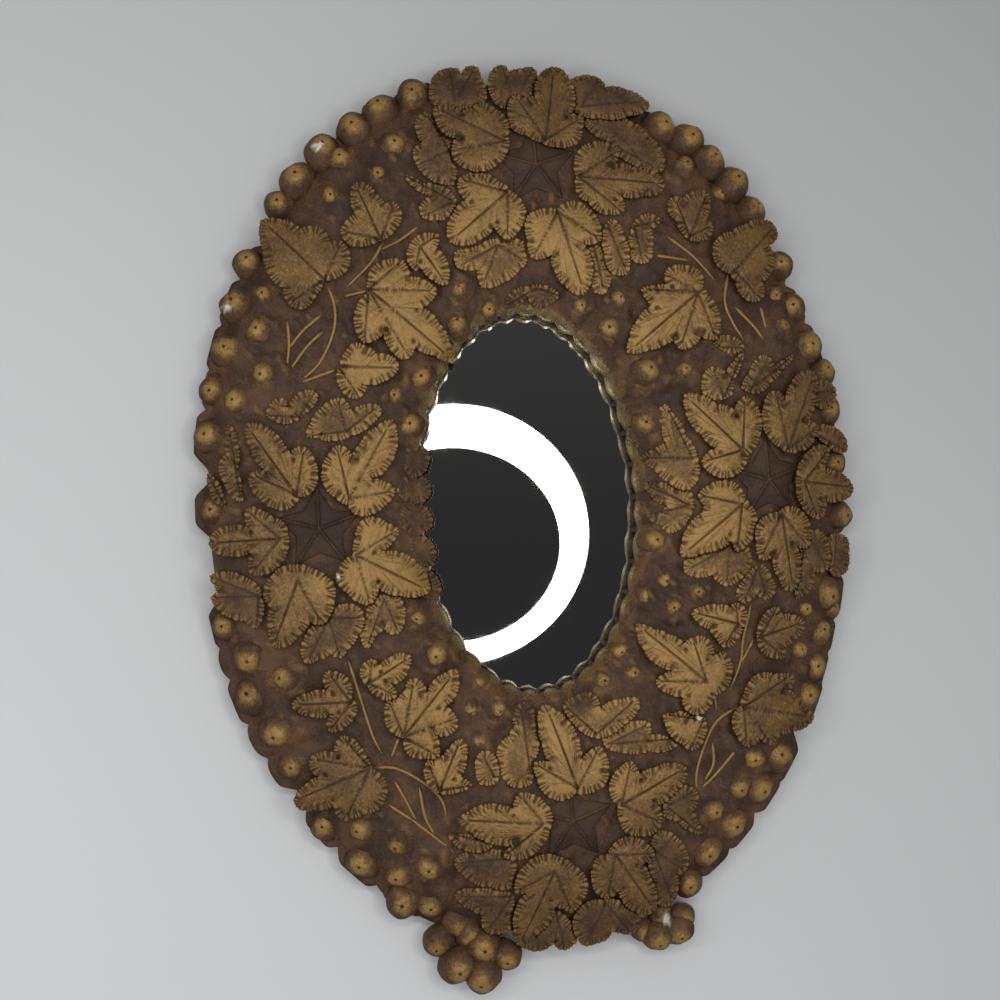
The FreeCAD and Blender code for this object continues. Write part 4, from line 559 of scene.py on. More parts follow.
sprigLeaves = {
    "upper_left": [
        ((-90, 107.5), [(-90, 107), (-80, 110.5), (-77.5, 118), (-81, 125), (-86.5, 125), (-90, 132.3),
         (-99.5, 132), (-109, 137.5), (-117.5, 138), (-117, 123), (-113, 107.5), (-109, 105), (-107, 97),
         (-100, 94), (-94, 101)]),
        ((-63, 125), [(-63, 124.5), (-77, 122.5), (-81.5, 130), (-74, 137.5), (-75.5, 147), (-73.5, 152.3),
         (-68.5, 152), (-64, 146.5), (-60, 141.5), (-55.5, 142.3), (-52.5, 136), (-56, 129)]),
        ((-45, 121), [(-45, 126.5), (-36, 126), (-37.5, 119.7), (-32.4, 112.5), (-33.5, 102.3), (-40, 105),
         (-45, 111), (-48, 109.8), (-51.5, 115.5), (-50, 121.5)]),
        ((-70, 102), [(-70, 106), (-68.5, 111), (-63, 115), (-53.5, 115), (-50.5, 107), (-44, 105.3),
         (-38, 100), (-45.5, 92.5), (-38, 85), (-33.5, 76), (-32, 67.3), (-41.5, 70.5), (-50, 74.3),
         (-53, 69.5), (-57.5, 69.3), (-64.5, 81), (-73.5, 77), (-77.5, 86), (-76, 94), (-70.5, 100.5)]),
        ((-86, 67), [(-85.2, 67), (-87, 62.5), (-85, 56), (-82, 52.5), (-77, 52), (-73, 58), (-66.5, 58.7),
         (-58, 65), (-60, 70), (-68, 72), (-72.5, 75.5), (-78, 77.5), (-82, 74)])],
    "upper_right": [
        ((83, 121), [(82.5, 119.5), (79, 123), (77, 128.5), (73.3, 133), (74, 138.5), (77, 140.2),
         (81, 139), (88, 143), (94, 142.5), (94.5, 137), (92, 129), (95, 126), (93, 120.5), (87.5, 118.5)]),
        ((104, 104), [(101.5, 102.5), (95, 107), (93.8, 115), (97, 120), (104, 122.7), (111, 126),
         (121, 129), (128, 127), (128.5, 121), (123, 116), (124.8, 110), (122, 102), (117, 98.2), (118, 93),
         (116, 89.5), (110.5, 88.8), (106, 92), (104, 99)]),
        ((85, 94), [(87.5, 97), (87.5, 102.5), (84.5, 105.5), (79, 107), (72.5, 106.8), (69.5, 103.5),
         (70, 98.3), (64.5, 98), (57.8, 96.8), (60.5, 91), (62, 88.5), (55, 82), (51, 74), (49.8, 67.2),
         (60, 68), (68, 70.3), (72, 72.2), (74.5, 67.5), (80, 68.3), (85, 73), (92.5, 71.3), (95, 80),
         (93, 88), (89.5, 92.5)])],
    "lower_right": [
        ((94, -63), [(72, -56), (78, -53.8), (85, -53.4), (90.3, -54.8), (93.2, -53), (97, -55),
         (98.5, -59), (96, -65), (93, -70), (90, -73.2), (86, -73.5), (83, -69), (80, -64.5), (74, -60.5)]),
        ((104, -70), [(102.5, -70), (105, -62), (109.5, -57), (113.5, -56.3), (116, -60), (121, -60.5),
         (126.5, -64), (126, -68), (121, -72.3), (116.2, -75.3), (115.5, -80), (109, -80), (103.8, -76)]),
        ((77, -89), [(46, -60), (54, -63), (60, -65.5), (67.5, -70.5), (71.5, -68), (77, -67.7),
         (80.8, -72), (81, -77.5), (86, -75.3), (89, -79.5), (89.2, -87), (86.5, -92.3), (81, -95.5),
         (78, -100), (73.5, -104), (68.5, -103.3), (65, -99), (65, -95.2), (59, -93.3), (54, -90),
         (53, -87), (57, -84), (61.5, -82.7), (54, -79.5), (48.5, -72), (46, -65)]),
        ((94.3, -102), [(92.5, -101.5), (94.5, -96), (97, -91), (101.5, -87.2), (107, -86.7), (109.7, -88),
         (114, -87.8), (119, -88.3), (120, -93), (116.5, -95.5), (122, -100.5), (127, -106), (130, -110),
         (126, -114), (118, -115.3), (111.5, -116), (107, -121), (102, -117.8), (94.5, -121), (90, -115),
         (88, -109.5), (89.3, -104.5)]),
        ((74.5, -106.5), [(55.5, -102.5), (60, -102.8), (64.5, -101.8), (68, -104.8), (74.8, -105.5),
         (75.5, -109), (74.5, -114.5), (71, -119.5), (67, -120.3), (63.5, -117), (58.5, -113),
         (56, -107.5)])],
    "lower_left": [
        ((-89, -87), [(-88.7, -85), (-89.2, -77), (-94, -73), (-99.3, -72), (-101.3, -76), (-99.5, -80.7),
         (-108, -81.5), (-113.5, -83.3), (-116, -86.5), (-113.5, -89.7), (-108, -92), (-101, -93),
         (-98, -91), (-100.5, -95.5), (-99.8, -99.5), (-96, -100), (-91.5, -97.5), (-87.5, -93),
         (-86.3, -89.5)]),
        ((-80.5, -79), [(-81, -80), (-84.3, -75), (-83, -70.3), (-78, -67.8), (-75.3, -71.2), (-70, -67.8),
         (-65, -66), (-60.3, -68), (-61.7, -73.5), (-65.5, -78.7), (-70.3, -80), (-67.8, -85.5),
         (-72, -87.3), (-77, -85.3)]),
        ((-66, -104.5), [(-65.8, -105), (-73, -100), (-74, -92), (-72, -86.5), (-67.5, -86.5), (-64, -83.5),
         (-62.5, -79), (-59.5, -77.8), (-55.3, -81), (-54, -85.5), (-51.5, -80.7), (-46, -77),
         (-39.5, -75.3), (-38.8, -80), (-40.5, -87), (-46, -91.7), (-41, -97.5), (-40.8, -101.5),
         (-47, -105.7), (-51, -104.3), (-50, -110), (-50.3, -114.8), (-57, -114.8), (-63.5, -113.5),
         (-66, -109.5)]),
        ((-51, -130), [(-51, -131.3), (-55.5, -127.5), (-57.7, -122.5), (-56, -116), (-50.7, -115.3),
         (-48, -114), (-45, -110.5), (-39.8, -107), (-37.4, -110), (-37.6, -116), (-41, -124.5),
         (-36, -128.8), (-42.5, -131.3)]),
        ((-82, -117.5), [(-81.5, -117.7), (-83.5, -112.5), (-86.5, -106.8), (-90, -103), (-94, -102),
         (-97, -105), (-98, -109.3), (-104.5, -109), (-109.2, -111.5), (-108.8, -117), (-105.5, -120),
         (-112, -123.5), (-117.7, -130.5), (-115, -134.8), (-108, -135), (-99.5, -133.8), (-98, -138.3),
         (-95, -141), (-91.5, -140), (-85.5, -138), (-80, -137), (-76.3, -132.5), (-74.8, -126),
         (-77.5, -120.5)])],
}
underLeaves = {
    "upper_left": [
        ((-24, 190), [(-34.5, 200), (-31, 206), (-25, 208.3), (-21, 207.5), (-19.5, 204), (-17, 208.2),
         (-12, 208.2), (-10.5, 202), (-9, 190), (-16, 186), (-28, 187), (-35, 190)]),
        ((-28, 166), [(-43, 181), (-38, 186), (-32, 178), (-26, 165), (-27, 150), (-33, 150.5),
         (-39, 153.5), (-44, 160), (-45, 167.5), (-40.5, 170.5), (-43, 176)]),
        ((-28, 142), [(-50, 155.5), (-42, 151), (-30, 148), (-26, 140), (-31, 134), (-36, 133.5),
         (-43, 135), (-44, 140.5), (-38, 145), (-46, 149.5)]),
        ((-8, 121), [(-29, 118), (-17, 121), (-8, 124), (4, 122), (5, 112), (1.5, 109), (-6.5, 103.3),
         (-16.8, 101.2), (-18.5, 109.8), (-28, 111)]),
        ((-105, 45), [(-120.3, 46.5), (-119, 50), (-114.5, 54.3), (-110.5, 53), (-110.5, 49), (-107, 54),
         (-101, 57.3), (-97, 56.5), (-96, 53), (-103, 46), (-110, 42), (-117, 44)]),
        ((-84, 37), [(-102.5, 36), (-100, 42), (-95, 48.5), (-87, 53), (-84.5, 52.5), (-81, 46.5),
         (-74, 49.2), (-68, 48.5), (-67, 45.5), (-72, 40), (-82, 35), (-90, 33), (-98, 35)]),
        ((-134, 10), [(-137.5, 43.5), (-135.5, 42), (-134, 35), (-135, 22), (-133.5, 12), (-133, 7.5),
         (-137, 9), (-141, 17), (-143, 25), (-139.5, 30), (-138.5, 37)]),
        ((-142, 8), [(-148.5, 21.5), (-145, 19), (-142, 12), (-141, 6), (-146, 8.5), (-147.5, 14)]),
        ((-59, 22), [(-55, 30), (-50, 30), (-45.5, 26), (-46.5, 20), (-49, 16), (-55, 15), (-60, 22)]),
        ((-61, 9), [(-56, 16), (-49.5, 15.3), (-45.5, 10), (-47, 5), (-50, 2.8), (-57, 3), (-62, 9)])],
    "upper_right": [
        ((4, 188), [(-6.8, 202), (-4, 206.8), (0, 208.5), (2.5, 207), (3, 204.5), (9, 206), (15, 206.7),
         (16.3, 204.5), (15, 195), (8, 188), (-2, 186), (-6.6, 192)]),
        ((36, 186), [(32, 199.5), (37, 201.8), (42.3, 203), (47.5, 201), (49.5, 196.2), (60, 196),
         (67, 193.3), (70.8, 189), (69.5, 185), (60, 181.5), (45, 180), (33, 183)]),
        ((44, 170), [(36, 178), (47.5, 181), (60, 178), (68, 171), (74.5, 161), (73, 153), (60, 156),
         (48, 168)]),
        ((44, 129), [(46, 131), (49, 129.5), (52, 122), (53.8, 113), (52.5, 104.5), (45, 105), (42, 115),
         (42, 126)]),
        ((37, 120), [(36, 121), (42, 115), (45, 106), (41, 95.5), (36, 97), (35.5, 108)]),
        ((57, 127), [(55, 124), (59, 131), (65, 133), (70.5, 129.7), (65, 125.5), (65.3, 117), (64, 111),
         (60, 109), (55, 111), (54, 118)]),
        ((9, 100), [(-6.5, 92), (-1.5, 92), (4.5, 97), (7, 92.8), (11, 91), (20, 96), (15, 100.5), (5, 101),
         (-3, 99)]),
        ((95, 68), [(90.5, 72), (97, 73.5), (104, 71.5), (106.5, 67), (101, 64.5), (95, 67)]),
        ((95, 44), [(84.5, 51), (86.5, 56.5), (90, 58.8), (94.5, 57.5), (97, 56), (101, 61), (106, 65.5),
         (104.5, 60), (99.5, 52), (99, 45), (90, 43), (85, 46)]),
        ((108, 47), [(103.5, 48), (108, 55), (112, 61.5), (115.5, 63.5), (119, 62), (121, 57.5),
         (126, 60.5), (131.5, 63), (125, 56.5), (118, 50), (112, 45)]),
        ((78, 16), [(64.2, 41), (64.7, 32), (66, 24), (60, 21), (53.8, 18), (60, 12), (66, 5.5), (74.5, 1),
         (80, 6), (80, 18), (75.5, 27), (69.5, 38.5), (67, 42.5)]),
        ((141, 44), [(142, 50.5), (150, 49), (153, 46), (151.5, 40), (145, 36.5), (141, 38)]),
        ((139, 25), [(139, 28.5), (147, 28.5), (153, 26), (157, 20), (156, 15.5), (150, 15.5), (146, 19),
         (140, 24)])],
    "lower_right": [
        ((75, -6), [(54.8, 5.5), (60, 5.5), (70, 3), (77, -1), (76, -10), (70, -17), (65, -18.5), (61, -15),
         (55, -9.5), (62, -9), (65, -5), (61, -4.2), (57.5, 0)]),
        ((93, -26), [(70.5, -37), (74, -39.5), (83.5, -39.3), (86, -42.5), (90, -45.2), (95, -43.5),
         (99.5, -40), (103.3, -35), (102, -27.5), (90, -24.5), (75, -29), (71, -32)]),
        ((106, -37), [(94.4, -49.8), (98, -54), (102, -51.8), (104.6, -49.8), (109.3, -53), (114, -49),
         (112.2, -41.4), (108.4, -36), (104, -37), (98, -43)]),
        ((131, -23), [(130, -22), (139, -21.5), (143, -30), (141.5, -40.5), (134, -41), (133.7, -45),
         (130, -51), (124, -53), (125, -46), (128, -35)]),
        ((147, -25), [(145, -23.5), (153.3, -25.7), (153.7, -33), (152.5, -41), (149, -43.5), (144, -43.5),
         (141, -33), (140.5, -27)]),
        ((55, -146), [(56, -140), (63, -136.5), (69.3, -139), (70.5, -144.5), (67.5, -149), (69.5, -154),
         (71.5, -160.5), (66, -158.5), (60, -153), (53, -150)]),
        ((47, -165), [(50, -157), (54, -157.3), (59.5, -161), (63.5, -167), (64.5, -173), (63, -177.5),
         (58.5, -178.5), (59.3, -186), (57, -192.5), (52.5, -193.7), (49, -191), (46, -178), (46, -165)]),
        ((24, -110), [(9.5, -95.2), (15, -92.2), (22.5, -90.3), (25.8, -93.5), (26.5, -99), (30, -96),
         (37, -94.7), (44.5, -94.3), (45.2, -99), (38, -106), (24, -112), (15, -106), (11, -100.5)]),
        ((29, -115), [(26.5, -113), (30, -110), (36, -107), (44, -105), (49.5, -106.5), (49.5, -112),
         (58, -114), (64, -114.5), (60, -119), (48, -119.5), (35, -119), (28, -116.5)]),
        ((24, -189), [(8, -196), (11, -206.3), (13.2, -209), (20, -208.5), (24, -207.5), (27, -203),
         (31, -204.5), (37, -206), (40, -203), (40, -196), (32, -189), (22, -187), (14, -188)])],
    "lower_left": [
        ((-62, -4), [(-57, 2.8), (-50.5, 2), (-46, -4), (-46.5, -9), (-50, -11), (-56, -12), (-62, -5)]),
        ((-57, -17), [(-56, -12.3), (-50, -13), (-45.5, -19), (-45.5, -24), (-49, -28), (-54, -25),
         (-58, -19)]),
        ((-52, -38), [(-49, -29), (-45, -33), (-44, -40), (-47, -43.5), (-52, -42), (-52, -35)]),
        ((-128, -36), [(-150, -25.5), (-143, -24), (-134, -27), (-127, -33), (-126, -42), (-130, -51),
         (-135, -47), (-141, -45.3), (-147, -41), (-150, -35.5), (-147, -33), (-148, -30)]),
        ((-97, -48), [(-104, -51), (-98, -46), (-90, -42), (-83, -43.5), (-80.5, -49), (-84, -57),
         (-89, -63), (-92.5, -67), (-97, -64.5), (-103, -67), (-108, -68.5), (-110.5, -64), (-109, -57)]),
        ((-71, -41), [(-77, -42), (-66, -38), (-62, -44), (-61.8, -50), (-65, -57.3), (-68.5, -57.5),
         (-72, -54.5), (-76, -57.5), (-80.5, -63.5), (-83, -58), (-80, -48)]),
        ((-25, -126), [(-33, -117), (-30.5, -114), (-26, -114.5), (-23, -120), (-24, -129), (-32, -129),
         (-33.5, -123)]),
        ((-8, -126), [(-10.5, -93.3), (-6, -93.5), (-4, -100), (-3, -112), (-7, -121), (-8, -131),
         (-16.5, -131.5), (-20.5, -128), (-23, -119), (-22.5, -112.5), (-17, -108), (-14.3, -104),
         (-13.8, -97.5)]),
        ((-29, -156), [(-48.5, -150), (-44, -151.5), (-36, -152), (-27, -157), (-33, -160), (-42, -158),
         (-46, -154.5)]),
        ((-20, -164), [(-46, -164.5), (-43.5, -160.8), (-38, -159.5), (-26, -159.5), (-18, -163),
         (-18, -172), (-20, -178.3), (-30, -176.5), (-37.5, -174), (-42, -170)]),
        ((-20, -182), [(-46, -180), (-45, -177.5), (-37, -177), (-27, -178.5), (-19.5, -181), (-20, -190),
         (-21.5, -198), (-28, -199.5), (-32.5, -198), (-34.3, -194.5), (-33.8, -189.5), (-39, -186.5),
         (-44, -183)]),
        ((0, -190), [(-18, -205.5), (-14, -208), (-8.5, -209.8), (-3, -208), (-1, -205.8), (1, -209.2),
         (4.2, -210.6), (8.5, -208), (10.3, -205), (6, -195), (0, -190), (-10, -198)])],
}


def chipShare(x, z):   # 1 where the white ground shows through, ragged at its edge
    share = np.zeros_like(x)
    for spotX, spotZ, radius in chips:
        away = np.hypot(x - spotX, z - spotZ) / radius
        away = away + chipEdge["ragged"] * carvedWaves(x, z, chipEdge["wave"])
        share = np.maximum(share, 1 - smooth(away, chipEdge["inner"], chipEdge["outer"]))
    return share


def leafOutline(places, step):
    # arcs over the chords between the places, bulging outwards, flatter in narrow notches, stepped evenly
    corners = np.array(places, float)
    ahead = np.roll(corners, -1, axis=0) - corners
    if (corners[:, 0] * ahead[:, 1] - corners[:, 1] * ahead[:, 0]).sum() < 0:
        corners = corners[::-1]
        ahead = np.roll(corners, -1, axis=0) - corners
    back = -np.roll(ahead, 1, axis=0)
    cross = ahead[:, 0] * back[:, 1] - ahead[:, 1] * back[:, 0]
    opening = np.abs(np.arctan2(cross, (ahead * back).sum(1)))
    flatter = np.minimum(leafShape["bulge"], np.tan(opening / 5) / 2)
    bulge = np.where(cross > 0, leafShape["bulge"], flatter)
    bulge = np.minimum(bulge, np.roll(bulge, -1))
    half = np.maximum(2 * np.arctan(2 * bulge), 1e-3)[:, None]
    swing = half * np.linspace(-1, 1, leafShape["arcSteps"], endpoint=False)
    along = (0.5 + np.sin(swing) / (2 * np.sin(half)))[..., None]
    aside = ((np.cos(swing) - np.cos(half)) / (2 * np.sin(half)))[..., None]
    outward = np.stack([ahead[:, 1], -ahead[:, 0]], -1)
    dense = (corners[:, None] + ahead[:, None] * along + outward[:, None] * aside).reshape(-1, 2)
    closed = np.vstack([dense, dense[:1]])
    length = np.concatenate([[0], np.cumsum(np.hypot(*np.diff(closed, axis=0).T))])
    stops = np.linspace(0, length[-1], max(60, int(length[-1] / step)), endpoint=False)
    rim = np.stack([np.interp(stops, length, closed[:, k]) for k in range(2)], -1)
    notches = corners[(cross < 0) & (opening < leafShape["notchAngle"])]
    return rim, stops / length[-1], length[-1], notches


def unitAside(ways):   # unit vectors square to the given ones, to the right of them
    return np.stack([ways[:, 1], -ways[:, 0]], -1) / np.hypot(ways[:, 0], ways[:, 1])[:, None]


def leafHub(rim, normal):   # the place inside from which the whole edge is seen best
    across, up = (np.linspace(rim[:, k].min(), rim[:, k].max(), leafShape["hubGrid"]) for k in range(2))
    spots = np.stack(np.meshgrid(across, up), -1).reshape(-1, 2)
    arms = rim[None, ::3] - spots[:, None]
    facing = (arms * normal[None, ::3]).sum(-1) / (np.hypot(arms[..., 0], arms[..., 1]) + 0.5)
    return spots[facing.min(1).argmax()]


def edgeReach(flat, rim):   # distance of each place to the edge, and which place of the edge is nearest
    gaps = [((row[:, None] - rim[None]) ** 2).sum(-1) for row in flat]
    return np.sqrt(np.array([gap.min(1) for gap in gaps])), np.array([gap.argmin(1) for gap in gaps])


def leafCover(rim, x, z):   # distance inside a leaf's edge, negative outside; far outside it is only -9
    depth = np.full(x.shape, -9.0)
    low, high = rim.min(0) - 2, rim.max(0) + 2
    near = (x > low[0]) & (x < high[0]) & (z > low[1]) & (z < high[1])
    if near.any():
        px, pz = x[near][:, None], z[near][:, None]
        ax, az = rim[None, :, 0], rim[None, :, 1]
        bx, bz = np.roll(ax, -1, axis=1), np.roll(az, -1, axis=1)
        crossing = (az > pz) != (bz > pz)
        meet = ax + (pz - az) / np.where(bz == az, 1, bz - az) * (bx - ax)
        inside = (crossing & (px < meet)).sum(1) % 2 == 1
        gap = np.sqrt(((px - ax) ** 2 + (pz - az) ** 2).min(1))
        depth[near] = np.where(inside, gap, -gap)
    return depth


def edgeCuts(around, length):   # 1 in a chisel cut and 0 on a ridge, and how far in the cut runs
    count = round(length / leafShape["cutStep"])
    waver = np.sin(around * count * leafShape["waverTurns"] + randoms.uniform(0, 6))
    turns = around * count + leafShape["waver"] * waver
    wave = np.exp(-(np.abs(turns % 1.0 - 0.5) / leafShape["cutWidth"]) ** 2)
    reach = leafShape["cutLength"] * randoms.uniform(*leafShape["cutSpread"], count + 2)
    return wave, reach[turns.astype(int)]


def leafTips(leaf):   # places of the edge that are farther from the stalk's end than their neighbours
    edge = np.array(leaf[1], float)
    away = np.hypot(*(edge - np.array(leaf[0], float)).T)
    peak = (away > np.roll(away, 1)) & (away >= np.roll(away, -1))
    return edge[peak & (away > leafShape["tipShare"] * away.max())]


def lineReach(x, z, start, arm, most):   # distance to a line and the share along it
    fromX, fromZ = x - start[0], z - start[1]
    share = np.clip((fromX * arm[0] + fromZ * arm[1]) / (arm @ arm), 0, most)
    return np.hypot(fromX - share * arm[0], fromZ - share * arm[1]), share


def veinMarks(leaf, x, z):   # 1 on veins from the stalk to the tips, less on side veins, 0 beside
    stalk, mark = np.array(leaf[0], float), np.zeros_like(x)
    for tip in leafTips(leaf):
        arm = tip - stalk
        off, share = lineReach(x, z, stalk, arm, leafShape["veinShare"])
        width = leafShape["veinWidth"] * (leafShape["veinTaper"][0] - leafShape["veinTaper"][1] * share)
        mark = np.maximum(mark, np.exp(-(off / width) ** 2))
        for root, side in sideVeins["roots"]:
            slant = side * sideVeins["slant"] * np.array([-arm[1], arm[0]])
            twig = (arm + slant) * sideVeins["length"] * (1 - sideVeins["shorten"] * root)
            off = lineReach(x, z, stalk + root * arm, twig, 1)[0]
            fine = np.exp(-(off / (sideVeins["width"] * leafShape["veinWidth"])) ** 2)
            mark = np.maximum(mark, sideVeins["depth"] * fine)
    return mark


def eyeMarks(notches, rim, normal, x, z):   # 1 in the drilled eye inside each notch
    mark = np.zeros_like(x)
    for notch in notches:
        spot = notch - normal[np.hypot(*(rim - notch).T).argmin()] * leafShape["eyeInset"]
        away = np.hypot(x - spot[0], z - spot[1])
        mark = np.maximum(mark, np.exp(-(away / leafShape["eyeRadius"]) ** 4))
    return mark


def carveLeaf(leaf, kind, above, lean):
    # rings from a place inside out to the edge, over it, down the wall and in below; the height is the band's
    # and the thickness, a low swell, chisel cuts square to the edge, veins to the tips and drilled eyes
    rim, around, length, notches = leafOutline(leaf[1], kind["step"])
    normal = unitAside(np.roll(rim, -1, axis=0) - np.roll(rim, 1, axis=0))
    hub = leafHub(rim, normal)
    wave, reach = edgeCuts(around, length)
    toothed = rim - normal * (leafShape["tooth"] * wave)[:, None]
    rings = np.concatenate([np.linspace(*leafShape["innerRings"]), np.linspace(*leafShape["outerRings"])])
    flat = hub + (toothed - hub)[None] * rings[:, None, None]
    x, z = flat[..., 0], flat[..., 1]
    inward, nearest = edgeReach(flat, rim)
    reach = reach[nearest]
    cuts = wave[nearest] * (1 - smooth(inward, leafShape["cutFade"] * reach, reach))
    vein = veinMarks(leaf, x, z) * (kind["vein"] > 0)
    eye = eyeMarks(notches, rim, normal, x, z) * (kind["eye"] > 0)
    relief = kind["puff"] * (smooth(inward, 0, leafShape["swellReach"]) - leafShape["swellBase"])
    relief = relief - kind["cut"] * cuts - kind["vein"] * vein - kind["eye"] * eye
    relief = relief + lean[0] * (x - hub[0]) + lean[1] * (z - hub[1])
    across = ringShare(x, z, band["sight"], band["outer"])
    base = bandHeight(x, z, leafShape["overhang"])
    if kind["ledge"]:                                              # no crease where it passes the sight edge
        rising = smooth(across, 0, leafShape["creaseEnd"])
        base = band["sightEdge"] + (base - band["sightEdge"]) * rising
    top = base + kind["thickness"] + relief
    for other in above:                                            # passes under leaves that lie on it
        top = top - leafShape["tuck"] * smooth(leafCover(other, x, z), *leafShape["tuckRange"])
    top = top - kind["ledge"] * smooth(across, *leafShape["ledgeRange"])
    top = np.maximum(top, seatHeight(x, z) + leafShape["clearance"])
    # painted shade in the chisel cuts, the veins and the drilled eyes
    paintedShade = leafRub["veinShade"] * vein + leafRub["eyeShade"] * eye + leafRub["cutShade"] * cuts
    dull = smooth(inward, leafRub["edgeStart"], kind["edgeWidth"])
    gild = leafRub["full"] - kind["edgeGold"] * dull - leafRub["cut"] * cuts - leafRub["vein"] * vein
    gild = gild - leafRub["outer"] * smooth(across, *leafRub["outerRange"])
    gild = gild - kind["rimShade"] * (1 - smooth(across, *leafRub["sightRange"]))
    wallFlat = toothed[None] + normal[None] * np.array(leafWall["spread"])[:, None, None]
    seat = seatHeight(wallFlat[..., 0], wallFlat[..., 1])
    wall = np.vstack([top[-1:] - np.array(leafWall["drop"])[:, None], seat[-1:]])
    wall[2] += (seat[2] - wall[2]) * leafWall["halfway"]
    below = hub + (toothed - hub)[None] * np.array(leafWall["below"])[:, None, None]
    belowHeight = seatHeight(below[..., 0], below[..., 1])
    points = np.vstack([np.dstack([x, z, top]), np.dstack([wallFlat, wall]), np.dstack([below, belowHeight])])
    hidden = np.ones((len(points) - len(top), len(rim)))
    gild = np.vstack([gild, hidden * np.array(leafWall["gild"])[:, None]])
    paintedShade = np.vstack([np.clip(paintedShade, 0, 1), hidden * np.array(leafWall["paintedShade"])[:, None]])
    chip = np.vstack([chipShare(x, z), 0 * hidden])
    return closedGrid(points, {"gild": gild, "paintedShade": paintedShade, "chip": chip})


def carveNext(leaf, kind, above, rims):   # carves a leaf with its own lean, then lists its edge
    shell = carveLeaf(leaf, kind, above, randoms.uniform(-leafShape["lean"], leafShape["lean"], 2))
    rims.append(leafOutline(leaf[1], leafShape["coarseStep"])[0])
    return shell


def lowKind(leaf):   # a lower leaf whose middle lies on the sight edge is a lobe of the ledge
    middle = np.mean(leaf[1], axis=0)
    atSight = ringShare(middle[0], middle[1], band["sight"], band["outer"]) < leafShape["ledgeShare"]
    return ledgeKind if atSight else lowerKind


raisedRims, lowerRims = [], []
for rosette, leaves in rosetteLeaves.items():
    for number, leaf in enumerate(leaves, 1):
        node = "%s_leaf_%d" % (rosette, number)
        shell = carveNext(leaf, raisedKind, raisedRims, raisedRims)
        buildPiece(node + "_carved", [shell], leafGilding, [node])
for quarter, leaves in sprigLeaves.items():
    node = quarter + "_sprig_leaves"
    shells = [carveNext(leaf, raisedKind, raisedRims, raisedRims) for leaf in leaves]
    buildPiece(node + "_carved", shells, leafGilding, [node])
for quarter, leaves in underLeaves.items():
    node = quarter + "_under_leaves"
    shells = [carveNext(leaf, lowKind(leaf), raisedRims + lowerRims, lowerRims) for leaf in leaves]
    buildPiece(node + "_carved", shells, underGilding, [node])
print("leaves carved", len(raisedRims), "raised", len(lowerRims), "lower")

# stems: lines through drawn places, half round
stemShape = {"width": 2.0, "thickness": 1.8, "root": 1.2, "taper": 0.3, "tipWidth": 0.25, "tipShare": 0.12,
             "columns": 14, "perSpan": 12}
stemRub = {"side": 0.35, "crown": 0.6, "crownRange": (0.1, 0.8), "paintedShade": 0.5, "shadeRange": (-0.1, 0.4)}
stems = {
    "upper_left": [
        [(-89, 106), (-86, 96), (-87, 84), (-94, 70), (-104, 61)],
        [(-62, 124), (-68, 115), (-80, 104)],
        [(-45, 131), (-54, 125), (-63, 121)],
        [(-70, 102), (-81, 100)],
        [(-87, 66), (-103, 61)],
        [(-108, 90), (-108, 77), (-111, 61)],
        [(-92, 92), (-101, 85), (-108, 77)],
        [(-92, 84), (-100, 77), (-108, 67)]],
    "upper_right": [
        [(73, 122), (85, 112), (95, 100)],
        [(67, 113), (83, 110)],
        [(102, 104), (99, 90), (102, 80), (107, 71)],
        [(104, 87), (113, 77), (117, 71)],
        [(117, 87), (119, 76)]],
    "lower_right": [
        [(102, -54), (97, -70), (95, -81), (89, -94)],
        [(102, -71), (95, -82)],
        [(93, -102), (83, -107), (77, -115), (71, -130), (70, -141)],
        [(92, -121), (80, -133), (70, -141)],
        [(79, -118), (79, -128), (74, -136)],
        [(81, -94), (82, -103)]],
    "lower_left": [
        [(-89, -68), (-85, -84), (-80, -103), (-76, -112)],
        [(-81, -118), (-70, -119), (-57, -127), (-50, -135), (-48, -144)],
        [(-68, -105), (-72, -114)],
        [(-75, -135), (-62, -145), (-45, -160)],
        [(-71, -125), (-67, -133), (-62, -144)],
        [(-60, -128), (-58, -142), (-54, -151)]],
}


def smoothLine(places, perSpan):   # a line through all places, each span a cubic led by its neighbours
    spots = np.array(places, float)
    padded = np.vstack([2 * spots[0] - spots[1], spots, 2 * spots[-1] - spots[-2]])
    t = np.linspace(0, 1, perSpan, endpoint=False)[None, :, None]
    p, q, r, s = (padded[k:len(padded) - 3 + k, None] for k in range(4))
    bend, twist = 2 * p - 5 * q + 4 * r - s, 3 * q - p - 3 * r + s
    line = 0.5 * (2 * q + (r - p) * t + bend * t ** 2 + twist * t ** 3)
    return np.vstack([line.reshape(-1, 2), spots[-1:]])


def carveStem(places):
    # a rounded section carried along the line, thinner at both ends, its foot sunk in the band
    line = smoothLine(places, stemShape["perSpan"])
    across = unitAside(np.gradient(line, axis=0))
    share = np.linspace(0, 1, len(line))
    ends = smooth(np.minimum(share, 1 - share), 0, stemShape["tipShare"])
    wide = stemShape["width"] / 2 * (1 - stemShape["taper"] * share)
    wide = wide * (stemShape["tipWidth"] + (1 - stemShape["tipWidth"]) * ends)
    turn = fullTurn(stemShape["columns"])
    flat = line[:, None] + across[:, None] * (wide[:, None] * np.cos(turn)[None])[..., None]
    rising = np.where(np.sin(turn) > 0, stemShape["thickness"] - ground["lift"], stemShape["root"])
    lift = (rising * np.sin(turn))[None] * (wide / wide.max())[:, None]
    height = bandHeight(flat[..., 0], flat[..., 1]) + ground["lift"] + lift
    gild = stemRub["side"] + stemRub["crown"] * smooth(np.sin(turn), *stemRub["crownRange"])
    # painted shade on the lower side of the stem
    paintedShade = stemRub["paintedShade"] * (1 - smooth(np.sin(turn), *stemRub["shadeRange"]))
    return closedGrid(np.dstack([flat, height]), {"gild": gild, "paintedShade": paintedShade, "chip": 0.0})


